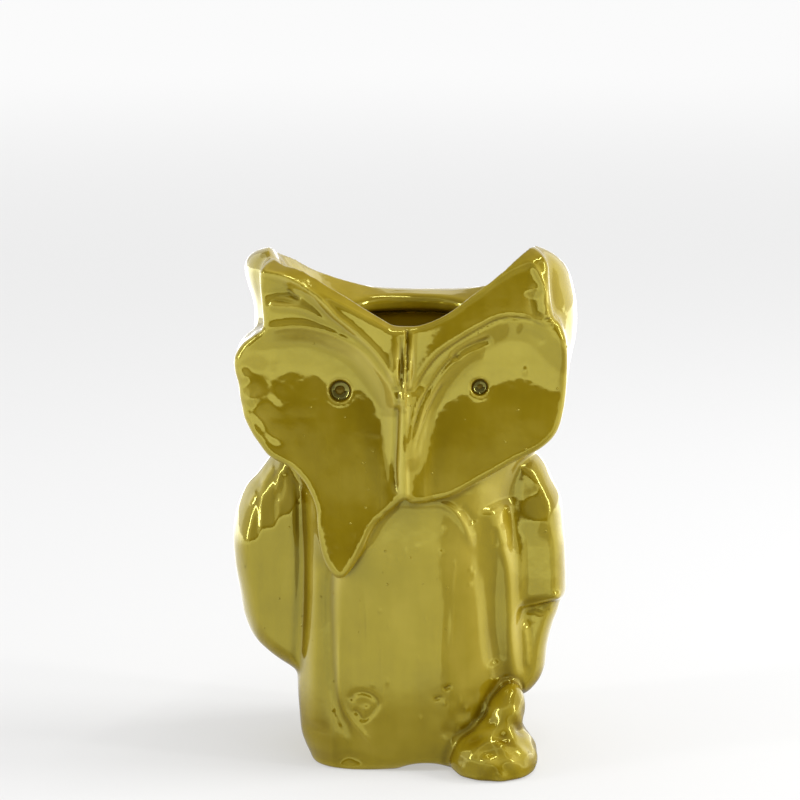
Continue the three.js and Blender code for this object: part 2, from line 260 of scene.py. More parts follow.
# The crest of the wall round the mouth, from the front's middle by the left ear and the back:
# x, y, z, softness of its edge, fall per mm outside it, height of its foot at the mouth
crest = [
    (0.0, -46.0, 173.6, 1.5, 0.3, 170.0), (-5.3, -46.0, 174.1, 1.4, 0.3, 170.0),
    (-9.4, -45.8, 176.5, 1.4, 0.3, 170.0), (-22.7, -45.0, 184.7, 1.4, 0.3, 169.0),
    (-32.0, -44.2, 190.2, 1.5, 0.3, 168.0), (-39.5, -42.5, 194.2, 1.4, 0.15, 168.0),
    (-45.5, -40.0, 195.8, 2.0, 0.10, 168.0), (-49.5, -34.0, 197.8, 5.0, 0.02, 168.0),
    (-51.5, -24.0, 199.6, 9.0, 0.0, 168.0), (-51.5, -12.0, 198.8, 10.0, 0.05, 168.0),
    (-49.5, 1.0, 195.4, 8.0, 0.12, 168.5), (-43.0, 13.0, 191.0, 7.0, 0.15, 170.0),
    (-35.5, 23.5, 185.4, 5.0, 0.1, 172.0), (-25.5, 30.0, 180.8, 4.0, 0.05, 173.5),
    (-13.0, 33.5, 177.2, 4.0, 0.0, 174.6), (2.0, 34.3, 176.0, 4.0, 0.0, 174.8),
    (18.0, 33.7, 176.1, 4.0, 0.0, 174.6), (31.0, 29.5, 178.4, 4.5, 0.05, 173.0),
    (41.0, 22.0, 183.0, 5.5, 0.10, 171.0), (46.5, 11.0, 189.4, 7.0, 0.15, 169.0),
    (48.5, -2.0, 195.0, 8.5, 0.15, 168.0), (48.5, -15.0, 199.6, 9.0, 0.12, 168.0),
    (48.5, -26.0, 201.6, 8.0, 0.12, 168.0), (46.4, -35.0, 201.8, 5.0, 0.20, 168.0),
    (42.0, -40.5, 199.0, 2.4, 0.3, 168.0), (35.1, -43.9, 193.2, 1.5, 0.3, 168.0),
    (24.6, -45.0, 185.3, 1.4, 0.3, 169.0), (15.0, -45.7, 178.3, 1.4, 0.3, 170.0),
    (6.2, -46.0, 174.2, 1.4, 0.3, 170.0),
]

faceShape = [
    (-0.6, 108.2), (-4.0, 105.4), (-8.4, 101.6), (-12.4, 96.9), (-16.0, 89.4), (-21.0, 81.2), (-24.6, 78.4),
    (-28.2, 80.2), (-31.6, 86.0), (-33.4, 95.2), (-34.0, 104.0), (-36.4, 110.6), (-39.0, 115.0),
    (-43.3, 119.4), (-50.4, 123.4), (-54.3, 127.6), (-59.0, 134.8), (-61.7, 143.0), (-62.7, 149.6),
    (-64.1, 156.5), (-64.2, 160.6), (-62.0, 165.2), (-57.4, 169.0), (-53.4, 172.6), (-53.6, 181.0),
    (-54.3, 189.0), (-54.0, 195.0), (-51.0, 200.5), (-44.0, 203.0), (-30.0, 202.0), (-10.0, 190.0),
    (10.0, 190.0), (30.0, 202.0), (44.0, 206.0), (50.5, 204.0), (52.6, 196.0), (53.2, 187.5), (54.0, 181.0),
    (55.2, 176.6), (57.8, 173.4), (60.0, 166.0), (60.4, 153.2), (59.2, 141.5), (56.4, 132.4), (50.4, 126.6),
    (40.5, 121.8), (30.4, 116.2), (18.2, 109.8), (9.0, 107.2), (2.4, 106.6),
]
discLeft = [
    (-1.0, 109.0), (-4.0, 105.4), (-8.4, 101.6), (-12.4, 96.9), (-16.0, 89.4), (-21.0, 81.2), (-24.6, 78.4),
    (-28.2, 80.2), (-31.6, 86.0), (-33.4, 95.2), (-34.0, 104.0), (-34.5, 110.0), (-37.5, 116.3),
    (-42.3, 120.4), (-49.4, 124.4), (-53.1, 128.6), (-57.9, 135.5), (-60.4, 143.0), (-61.3, 149.0),
    (-62.9, 156.0), (-63.0, 160.5), (-60.6, 165.6), (-56.4, 169.4), (-52.6, 172.6), (-43.1, 174.2),
    (-35.4, 173.6), (-26.5, 170.9), (-17.2, 165.5), (-10.5, 157.8), (-5.3, 149.8), (-2.3, 142.0),
    (-1.0, 132.0),
]
discRight = [
    (-1.0, 109.0), (2.4, 107.3), (9.0, 108.0), (17.9, 110.7), (29.7, 117.2), (39.5, 122.6), (49.1, 127.6),
    (54.6, 133.2), (57.5, 141.5), (58.8, 153.2), (58.6, 165.5), (56.4, 172.6), (53.0, 176.0), (47.7, 176.6),
    (40.3, 177.8), (33.6, 177.2), (25.5, 172.8), (18.1, 168.0), (11.4, 163.0), (5.1, 154.4), (2.1, 148.0),
    (0.2, 132.0),
]
browLeft = [
    (-1.2, 140.0), (-2.3, 142.0), (-5.3, 149.8), (-10.5, 157.8), (-17.2, 165.5), (-26.5, 170.9),
    (-35.4, 173.6), (-43.1, 174.2), (-52.6, 172.6), (-53.4, 183.0), (-53.6, 192.0), (-51.5, 198.5),
    (-44.2, 200.5), (-32.0, 193.5), (-22.7, 188.0), (-9.4, 180.0), (-1.2, 177.0),
]
browRight = [
    (-0.8, 140.0), (2.1, 148.0), (5.1, 154.4), (11.4, 163.0), (18.1, 168.0), (25.5, 172.8), (33.6, 177.2),
    (40.3, 177.8), (47.7, 176.6), (54.0, 174.5), (53.4, 181.0), (52.2, 187.5), (51.6, 196.0), (49.5, 204.0),
    (44.8, 203.5), (35.1, 196.5), (24.6, 188.0), (15.0, 181.5), (6.2, 177.5), (-0.8, 177.0),
]
wingLeft = [
    (-41.0, 116.5), (-47.0, 119.8), (-51.2, 117.0), (-56.5, 109.8), (-60.9, 104.6), (-64.2, 96.4),
    (-65.6, 87.0), (-65.0, 75.8), (-63.3, 65.5), (-61.5, 55.1), (-57.6, 46.7), (-50.0, 39.6), (-43.0, 36.0),
    (-39.0, 40.0), (-38.0, 60.0), (-38.0, 90.0),
]
wingRight = [
    (40.0, 117.5), (46.0, 119.6), (51.8, 115.6), (55.8, 107.6), (58.8, 101.5), (59.8, 92.2), (60.9, 82.9),
    (61.3, 70.0), (60.2, 63.4), (54.0, 61.5), (46.0, 60.0), (40.0, 58.5), (39.0, 70.0), (39.0, 95.0),
]
wingTipRight = [
    (40.0, 62.0), (48.0, 63.0), (55.0, 65.0), (59.6, 64.6), (58.6, 58.5), (56.3, 51.9), (54.3, 43.8),
    (53.1, 35.1), (50.3, 29.6), (46.0, 26.6), (42.0, 30.0), (39.5, 42.0),
]


def levelAt(levels, z):
    # the row's values at each height, eased between rows
    zs = levels[:, 0]
    fine = np.arange(zs[0], zs[-1] + 0.5, 0.5)
    out = []
    for column in range(1, levels.shape[1]):
        slopes = np.gradient(levels[:, column], zs)
        i = np.clip(np.searchsorted(zs, fine, side="right") - 1, 0, len(zs) - 2)
        h = zs[i + 1] - zs[i]
        t = (fine - zs[i]) / h
        a, b = levels[i, column], levels[i + 1, column]
        curve = (2 * t**3 - 3 * t**2 + 1) * a + (t**3 - 2 * t**2 + t) * h * slopes[i]
        curve += (-2 * t**3 + 3 * t**2) * b + (t**3 - t**2) * h * slopes[i + 1]
        out.append(np.interp(z, fine, curve).astype(np.float32))
    return out


def column(p, levels, power, low=None, high=None):
    # an upright loft of superellipses, as a rough signed distance
    x, y, z = p.T
    cx, cy, a, b = levelAt(levels, z)
    u, v = np.abs(x - cx) / a, np.abs(y - cy) / b
    g = (u**power + v**power) ** (1.0 / power)
    gradient = np.hypot(u ** (power - 1) / a, v ** (power - 1) / b) / np.maximum(g, 1e-3) ** (power - 1)
    d = (g - 1.0) / np.maximum(gradient, 1.0 / np.maximum(a, b))
    if low is not None:
        d = smoothMax(d, low - z, 2.0)
    if high is not None:
        d = smoothMax(d, z - high, 2.0)
    return d


# The face's relief.
faceSettings = {
    "front": -47.0,          # Y of the face's plane in the middle
    "curve": 0.0010,         # how it falls back towards the sides, per mm
    "back": -14.0,
    "dishDepth": 3.8,
    "poolSlopes": [          # mm below the pool's top, how much it comes forward there per mm
        (-40, 0.0), (-4, 0.0), (2, 0.062), (10, 0.085), (24, 0.16), (35, 0.20), (44, 0.14), (54, 0.105),
        (90, 0.105),
    ],
    "browLean": 0.05,
    "browStep": 2.2,
    "beakHeight": 2.0,
}


arcLeft = [
    (-75.0, 171.6), (-62.0, 171.6), (-52.4, 172.4), (-43.1, 173.8), (-35.4, 173.4), (-26.5, 170.8),
    (-17.2, 165.4), (-10.5, 157.8), (-5.3, 149.6), (-2.9, 142.0), (-2.2, 132.0), (-2.0, 60.0),
]
arcRight = [
    (1.2, 60.0), (0.8, 132.0), (2.3, 148.0), (5.3, 154.6), (11.6, 163.0), (18.3, 168.1), (25.7, 172.8),
    (33.6, 176.4), (40.3, 177.2), (47.7, 175.8), (53.3, 172.6), (62.0, 164.0), (75.0, 156.0),
]
browEdgeLeft = [
    (-60.0, 197.5), (-51.1, 195.8), (-45.6, 194.2), (-39.3, 190.4), (-33.4, 186.0), (-29.4, 181.6),
    (-26.0, 177.8), (-22.0, 174.6), (-17.4, 170.6), (-11.6, 164.8), (-7.2, 158.6), (-4.2, 151.6),
    (-3.0, 146.0),
]
poolTop = [          # where each disc turns from facing down to facing up: x, z
    (-75, 154), (-58, 155), (-49.7, 155.2), (-39.6, 155.5), (-33.5, 154.6), (-29.5, 151.0), (-25.0, 149.0),
    (-19.1, 149.5), (-15.4, 148.2), (-11.0, 144.0), (-6.0, 140.0), (0, 136.0), (6, 138.5), (11.1, 141.6),
    (14.5, 144.6), (20.1, 147.2), (24.5, 147.8), (31.2, 150.3), (36.8, 153.0), (43.5, 153.8), (49.9, 151.2),
    (54.4, 149.1), (75, 146),
]


def beyond(line, corners):
    # distance into the area that a line and some far corners shut in, positive inside
    return -outlineDistance(np.vstack([curveThrough(line), np.array(corners)]))


def faceRelief():
    # how far the face stands out in front of its plane, over X and Z
    s = faceSettings
    relief = np.zeros(gridX.shape, dtype=np.float32)
    # the brow leans out over the face
    rise = np.logaddexp(0, (gridZ - 168.0) / 3.0) * 3.0
    relief += rise * (s["browLean"] * smoothStep(16.0, -4.0, gridX) - 0.045 * smoothStep(4.0, 24.0, gridX))
    # dishes round the eyes: a steep upper wall, then a lower half that comes forward to the cheeks
    left = beyond(arcLeft, [(-75.0, 60.0)])
    right = beyond(arcRight, [(75.0, 60.0)])
    fade = smoothStep(-60.0, -36.0, gridX)
    relief -= s["dishDepth"] * smoothStep(0.2, 8.5, left) * (0.35 + 0.65 * fade)
    relief -= s["dishDepth"] * 0.80 * smoothStep(-0.6, 10.0, right) * (1.0 - 0.35 * smoothStep(38.0, 56.0, gridX))
    border = np.interp(gridX, *np.array(poolTop, dtype=float).T)
    below, slopes = np.array(s["poolSlopes"]).T
    fine = np.arange(below[0], below[-1], 0.5)
    forward = np.cumsum(np.interp(fine, below, slopes)) * 0.5
    relief += np.interp(border - gridZ, fine, forward) * np.minimum(1.0, np.abs(gridX + 1) / 8)
    relief += 0.05 * np.clip(gridZ - border, 0, 16)
    # the left brow stands out from a crest line
    brow = beyond(browEdgeLeft, [(0.0, 146.0), (0.0, 215.0), (-60.0, 215.0)])
    relief += s["browStep"] * smoothStep(-5.0, 1.0, brow) * (gridX < 0)
    drawLine(relief, browEdgeLeft[1:-1], 0.7, 1.3, ends=0.06)
    beads = [(-48.0, 195.6, 0.3), (-44.6, 194.0, 1.0), (-41.0, 191.8, 0.2), (-36.8, 188.6, 1.0),
             (-33.4, 185.6, 0.3), (-30.0, 182.0, 0.9), (-26.4, 178.2, 0.7), (-22.0, 174.8, 0.5),
             (-17.4, 170.8, 0.2)]
    drawLine(relief, beads, 0.9, 1.1, ends=0.05)
    # the arc that frames the left dish
    drawLine(relief, arcLeft[2:-2], 0.8, 1.5, ends=0.06)
    # the lid over it ends in a bright lip, and the ear's hollow lies above that
    lip = [(-51.5, 182.0, 1.0), (-46.4, 181.4, 1.0), (-40.5, 181.0, 1.0), (-35.0, 179.0, 0.8),
           (-29.5, 175.0, 0.5), (-23.0, 171.2, 0.3)]
    drawLine(relief, lip, 1.1, 1.5, ends=0.08)
    bump(relief, -46.0, 186.0, 6.6, 3.5, -2.0, turn=6)
    drawLine(relief, [(-44.6, 187.4), (-42.0, 185.2), (-38.6, 183.6)], -0.7, 0.8, ends=0.2)
    drawLine(relief, [(-49.5, 184.5), (-45.4, 184.2), (-41.0, 183.2)], 0.45, 0.7, ends=0.25)
    # the right brow is one broad slope, with a step down to the disc
    stepRight = [(2.4, 147.5), (5.3, 154.2), (11.6, 162.6), (18.3, 167.6), (25.7, 172.2), (33.6, 176.2),
                 (40.3, 177.0), (47.7, 175.5), (53.3, 172.2)]
    drawLine(relief, stepRight, 0.55, 2.4, shape="step", ends=0.10)
    drawLine(relief, stepRight, -0.45, 1.0, ends=0.2)
    drawLine(relief, [(45.6, 199.6), (48.6, 194.2), (51.4, 187.6), (51.8, 181.0), (52.6, 176.0)],
             1.0, 1.3, ends=0.06)
    drawLine(relief, [(47.0, 187.0), (47.8, 180.5), (49.4, 175.6)], -1.1, 2.4, ends=0.25)
    bump(relief, 47.0, 187.4, 1.2, 0.6, 0.5, turn=35)
    bump(relief, 54.2, 175.0, 1.2, 1.0, 0.6)
    # rolls on both sides of the brow's middle
    drawLine(relief, [(-4.6, 174.0, 0.2), (-4.4, 166.0, 0.6), (-4.2, 158.0, 1.3), (-3.6, 150.0, 0.5)],
             1.5, 1.9, ends=0.1)
    drawLine(relief, [(1.9, 175.0, 0.3), (1.4, 166.0, 0.8), (0.9, 157.0, 1.4), (0.3, 149.0, 0.5)],
             1.9, 1.6, ends=0.1)
    drawLine(relief, [(-1.6, 172.0), (-1.6, 165.0), (-1.9, 157.0), (-1.7, 150.0)], -0.6, 1.0, ends=0.25)
    # the beak, between its two flanks
    beak = [(-0.5, 154.0, 0.4), (-0.6, 142.0, 0.9), (-0.9, 131.0, 1.0), (-0.9, 120.0, 1.1),
            (-0.7, 108.5, 1.2), (-0.6, 94.0, 1.2)]
    drawLine(relief, beak, s["beakHeight"], 1.9, ends=0.10)
    drawLine(relief, beak, s["beakHeight"] * 0.8, 7.5, ends=0.12)
    drawLine(relief, [(-3.4, 152.0), (-3.4, 142.5), (-3.8, 131.0), (-4.3, 120.0), (-3.9, 110.0)], -0.8, 1.0)
    # strokes that fan out of the beak over the right disc
    roll = [(1.6, 118.0, 0.5), (3.6, 131.0, 1.0), (8.2, 145.0, 1.0), (14.2, 155.2, 1.0), (21.8, 162.0, 0.8),
            (29.0, 166.0, 0.3)]
    drawLine(relief, roll, 1.3, 3.0, ends=0.1)
    drawLine(relief, [(1.8, 131.0), (5.1, 143.0), (9.6, 151.7), (15.5, 159.8), (20.7, 163.6)],
             -0.5, 0.7, ends=0.15)
    drawLine(relief, [(2.9, 124.0), (5.6, 134.7), (10.4, 146.1), (15.2, 153.6)], -0.4, 0.7, ends=0.2)
    drawLine(relief, [(0.9, 126.0), (1.9, 134.7), (4.0, 144.2), (8.0, 151.7)], 0.35, 0.6, ends=0.2)
    drawLine(relief, [(17.0, 160.8), (20.5, 164.2), (26.6, 167.2), (32.6, 168.9)], -1.0, 1.5, ends=0.18)
    drawLine(relief, [(41.0, 172.4), (47.0, 171.0), (52.5, 166.5)], -0.5, 2.2, ends=0.2)
    bump(relief, 44.4, 156.0, 0.7, 1.8, 0.35)
    # the left cheek's lumpy edge
    drawLine(relief, [(-61.0, 158.0, 1.0), (-58.2, 150.0, 0.7), (-56.0, 141.0, 1.0), (-51.0, 133.5, 0.8),
                      (-45.0, 128.0, 0.8)], 0.7, 2.0, ends=0.2)
    drawLine(relief, [(-53.4, 158.0), (-52.6, 151.0), (-50.2, 143.5), (-46.5, 137.5)], -0.28, 2.0, ends=0.3)
    bump(relief, -57.5, 163.0, 4.0, 5.0, 0.8)
    bump(relief, -49.8, 160.6, 1.5, 5.5, 0.35, turn=-6)
    bump(relief, -58.2, 146.4, 2.0, 3.0, 0.7)
    bump(relief, -60.0, 154.5, 1.3, 1.8, 0.4)
    return relief


eyePlaces = {"left": (-24.7, 148.5, 4.4, 3.6),       # x, z, radius and depth of its pit
             "right": (27.5, 150.0, 3.4, 2.9)}


def eyePits(relief):
    for x, z, radius, depth in eyePlaces.values():
        r = np.hypot(gridX - x, gridZ - z)
        bowl = np.clip(1.0 - (r / radius) ** 2, 0.0, 1.0) ** 0.7
        relief -= (depth * bowl).astype(np.float32)
        relief += (0.10 * np.exp(-((r - 1.15 * radius) / 0.9) ** 2)).astype(np.float32)


# The relief of the chest, the belly and the legs.
def torsoRelief():
    relief = np.zeros(gridX.shape, dtype=np.float32)
    # the chest leans out to meet the chin, and the belly swells below it
    lean = np.logaddexp(0, (gridZ - 62.0) / 5.0) * 5.0
    relief += 0.155 * np.minimum(lean, 46) * np.exp(-(((gridX + 1) / 34) ** 4))
    bump(relief, 3.0, 52.0, 29.0, 40.0, 2.6, power=1.6)
    bump(relief, -22.0, 90.0, 15.0, 19.0, 3.4)
    # the left leg's column, and the flat strip between it and the belly, which fades into the foot
    drawLine(relief, [(-37.2, 111.0, 1.2), (-36.2, 99.0, 1.0), (-35.2, 83.6, 0.9), (-34.9, 68.0, 1.0),
                      (-35.0, 48.6, 0.9), (-35.4, 28.9, 0.7), (-35.0, 14.0, 0.5)], 1.9, 4.2, ends=0.06)
    drawLine(relief, [(-27.0, 84.0, 0.4), (-28.4, 76.0, 1.0), (-28.9, 68.1, 1.0), (-28.6, 52.5, 1.0),
                      (-28.0, 36.8, 0.9), (-26.2, 25.0, 0.6), (-22.0, 15.6, 0.3), (-15.6, 8.0, 0.1)],
             -1.7, 2.5, ends=0.06)
    relief += 0.045 * np.clip(80.0 - gridZ, 0, 80) * smoothStep(-21.0, -29.0, gridX)
    drawLine(relief, [(-25.4, 62.0), (-25.6, 42.0), (-25.2, 30.0), (-22.6, 22.1), (-17.0, 15.4),
                      (-11.5, 9.0)], 0.4, 1.1, ends=0.2)
    # the right leg's column
    drawLine(relief, [(34.0, 104.0, 0.4), (36.5, 92.0, 0.8), (39.4, 80.0, 1.0), (40.4, 66.0, 1.0),
                      (41.2, 52.0, 1.0), (42.4, 36.0, 0.8), (43.0, 26.0, 0.5)], 4.4, 5.0, ends=0.05)
    drawLine(relief, [(24.5, 92.0, 0.5), (28.2, 80.0, 0.8), (30.8, 66.0, 1.0), (32.2, 52.0, 1.0),
                      (34.0, 38.0, 0.9)], -0.9, 3.4, ends=0.1)
    # the belly's top is an arch under the chin
    arch = [(-24.6, 79.0, 0.6), (-20.4, 83.6, 0.8), (-14.6, 91.0, 1.0), (-11.0, 97.5, 1.0),
            (-6.8, 102.4, 1.0), (-2.0, 105.8, 1.0), (3.4, 105.4, 1.0), (8.0, 105.6, 1.0),
            (13.0, 105.6, 1.0), (17.6, 103.0, 1.0), (21.3, 98.2, 1.0), (24.3, 91.0, 0.8), (27.5, 82.0, 0.4)]
    drawLine(relief, arch, 0.8, 1.6, ends=0.1)
    drawLine(relief, [(-22.0, 99.0), (-20.0, 93.0), (-19.5, 86.0)], 0.4, 1.4, ends=0.3)
    # the folds under the right cheek
    drawLine(relief, [(45.6, 92.0), (45.2, 78.0), (45.0, 66.0)], 0.9, 1.2, ends=0.2)
    drawLine(relief, [(20.0, 104.5), (23.5, 101.0), (26.0, 96.5)], -0.6, 1.5, ends=0.2)
    drawLine(relief, [(33.0, 95.0), (34.0, 91.0), (34.5, 86.0)], -0.4, 1.3, ends=0.3)
    drawLine(relief, [(37.5, 96.0), (38.5, 91.0), (38.6, 86.0)], 0.4, 1.2, ends=0.3)
    # small marks of the hand: a ring dent, two nicks and pimples
    ringDent = [(-21.5, 27.0), (-19.8, 30.4), (-16.2, 31.4), (-12.4, 30.0), (-10.8, 27.2), (-12.2, 24.6),
                (-14.0, 22.2), (-16.6, 20.6), (-18.0, 22.6), (-20.4, 24.2)]
    drawLine(relief, ringDent, -0.55, 1.1, ends=0.05)
    bump(relief, -16.2, 26.6, 3.4, 3.0, -0.35)
    bump(relief, -15.2, 25.0, 0.8, 1.0, 0.5)
    drawLine(relief, [(14.0, 32.8), (15.6, 33.6), (17.4, 34.6)], -0.6, 0.7, ends=0.3)
    drawLine(relief, [(10.4, 29.0), (12.2, 29.6), (13.8, 30.0)], -0.5, 0.6, ends=0.3)
    rng = np.random.default_rng(41)
    for _ in range(22):
        x, z = rng.uniform(-24, 27), rng.uniform(16, 98)
        size = rng.uniform(0.35, 0.8)
        bump(relief, x, z, size, size * rng.uniform(1.0, 2.6), rng.uniform(0.16, 0.38))
    for _ in range(9):
        x, z = rng.uniform(-24, 24), rng.uniform(24, 88)
        bump(relief, x, z, rng.uniform(0.5, 0.9), rng.uniform(5, 11), rng.uniform(-0.3, 0.3),
             turn=rng.uniform(-6, 6))
    return relief


def wingFacets():
    # how far the wings' fronts stand out, over X and Z
    relief = np.zeros(gridX.shape, dtype=np.float32)
    kneeLine = [(-66, 84), (-62.3, 86.5), (-57.0, 88.6), (-55.3, 92.4), (-50.5, 93.4), (-48.4, 97.4),
                (-44.5, 99.0), (-41.8, 103.6), (-38, 106)]
    knee = np.interp(gridX, *np.array(kneeLine).T)
    over = np.logaddexp(0, (gridZ - knee) / 1.2) * 1.2
    relief -= 0.26 * over * (gridX < 0)
    relief -= 0.05 * np.clip(knee - gridZ, 0, 60) * (gridX < 0)
    drawLine(relief, [(-50.6, 116.0), (-53.2, 112.0), (-55.6, 107.6)], 0.9, 1.1, ends=0.2)
    drawLine(relief, [(-53.6, 115.6), (-56.0, 111.6), (-58.4, 108.0)], 0.8, 0.9, ends=0.2)
    drawLine(relief, [(-57.2, 105.6), (-58.9, 103.0), (-60.4, 100.0)], 0.7, 0.9, ends=0.2)
    drawLine(relief, [(-46.6, 114.0), (-47.6, 108.0), (-50.0, 102.0)], -0.6, 1.6, ends=0.2)
    # right: a plate with a dent near its top, over a lobe that comes forward
    relief -= 0.045 * np.clip(gridZ - 66.0, 0, 50) * (gridX > 0)
    bump(relief, 50.5, 95.0, 5.0, 5.5, 1.5, turn=20)
    bump(relief, 50.0, 105.5, 5.5, 3.0, -0.6, turn=30)
    drawLine(relief, [(44.0, 61.0), (50.0, 62.6), (56.0, 64.6), (61.0, 66.0)], 1.0, 1.6, ends=0.15)
    relief += 0.10 * np.clip(62.0 - gridZ, 0, 40) * (gridX > 0)
    drawLine(relief, [(45.6, 56.0), (46.6, 46.0), (47.2, 36.0)], 0.8, 1.3, ends=0.2)
    drawLine(relief, [(50.0, 60.0), (52.5, 59.0), (56.5, 59.6)], -0.5, 0.9, ends=0.2)
    return relief


def crestMap():
    # over X and Y: the top of the wall round the mouth, and how softly its edge is rounded
    step = 1.0
    xs = np.arange(-80.0, 80.5, step)
    ys = np.arange(-70.0, 70.5, step)
    gx, gy = np.meshgrid(xs, ys, indexing="ij")
    line = curveThrough(crest, closed=True, perSpan=8)
    angle = np.arctan2(line[:, 1] - mouth["y"], line[:, 0] - mouth["x"])
    reach = np.hypot(line[:, 0] - mouth["x"], line[:, 1] - mouth["y"])
    order = np.argsort(angle)
    at = np.arctan2(gy - mouth["y"], gx - mouth["x"])
    r = np.hypot(gx - mouth["x"], gy - mouth["y"])

    def around(values):
        return np.interp(at, angle[order], values[order], period=2 * math.pi)

    crestR, crestZ, soft, fall, innerZ = (around(v) for v in [reach] + [line[:, i] for i in range(2, 6)])
    u = np.clip((r - mouth["radius"]) / np.maximum(crestR - mouth["radius"], 1.0), 0, None)
    rise = (crestZ - innerZ) * np.minimum(u, 1.0) ** 1.15
    top = np.where(u < 1, innerZ + rise, crestZ - fall * (r - crestR))
    gradX, gradY = np.gradient(top, step)
    steep = np.sqrt(1 + gradX**2 + gradY**2)
    return {"top": top.astype(np.float32), "steep": steep.astype(np.float32), "soft": soft.astype(np.float32),
            "originX": xs[0], "originZ": ys[0], "step": step}


facePlaneRelief = faceRelief()
eyePits(facePlaneRelief)
bodyRelief = torsoRelief()
faceOutline = outlineDistance(curveThrough(faceShape, True))
wingRelief = wingFacets()
outlines = {name: outlineDistance(curveThrough(points, True)) for name, points in (
    ("discLeft", discLeft), ("discRight", discRight), ("browLeft", browLeft), ("browRight", browRight),
    ("wingLeft", wingLeft), ("wingRight", wingRight), ("wingTipRight", wingTipRight))}
rim = crestMap()
print("outlines and reliefs drawn")


def pebble(edge, y, front, back, radius, turn):
    # a rounded slab behind an outline: `radius` rounds it over the outline, `turn` from front to back
    middle, half = (front + back) / 2, (back - front) / 2
    u = np.maximum(edge + radius, 0) / radius
    v = np.maximum(np.abs(y - middle) - half + turn, 0) / turn
    g = np.hypot(u, v)
    slope = np.hypot(u / radius, v / turn) / np.maximum(g, 1e-4)
    inner = np.maximum(edge, np.abs(y - middle) - half)
    return np.where(g > 0.4, (g - 1.0) / np.maximum(slope, 1e-4), inner)


def ellipsoid(p, centre, radii, turn=0.0):
    # turn in degrees about Y
    q = p - np.array(centre, dtype=np.float32)
    c, s = math.cos(math.radians(turn)), math.sin(math.radians(turn))
    x, y, z = q[:, 0] * c + q[:, 2] * s, q[:, 1], -q[:, 0] * s + q[:, 2] * c
    rx, ry, rz = radii
    k0 = np.sqrt((x / rx) ** 2 + (y / ry) ** 2 + (z / rz) ** 2)
    k1 = np.sqrt((x / rx**2) ** 2 + (y / ry**2) ** 2 + (z / rz**2) ** 2)
    return k0 * (k0 - 1.0) / np.maximum(k1, 1e-6)


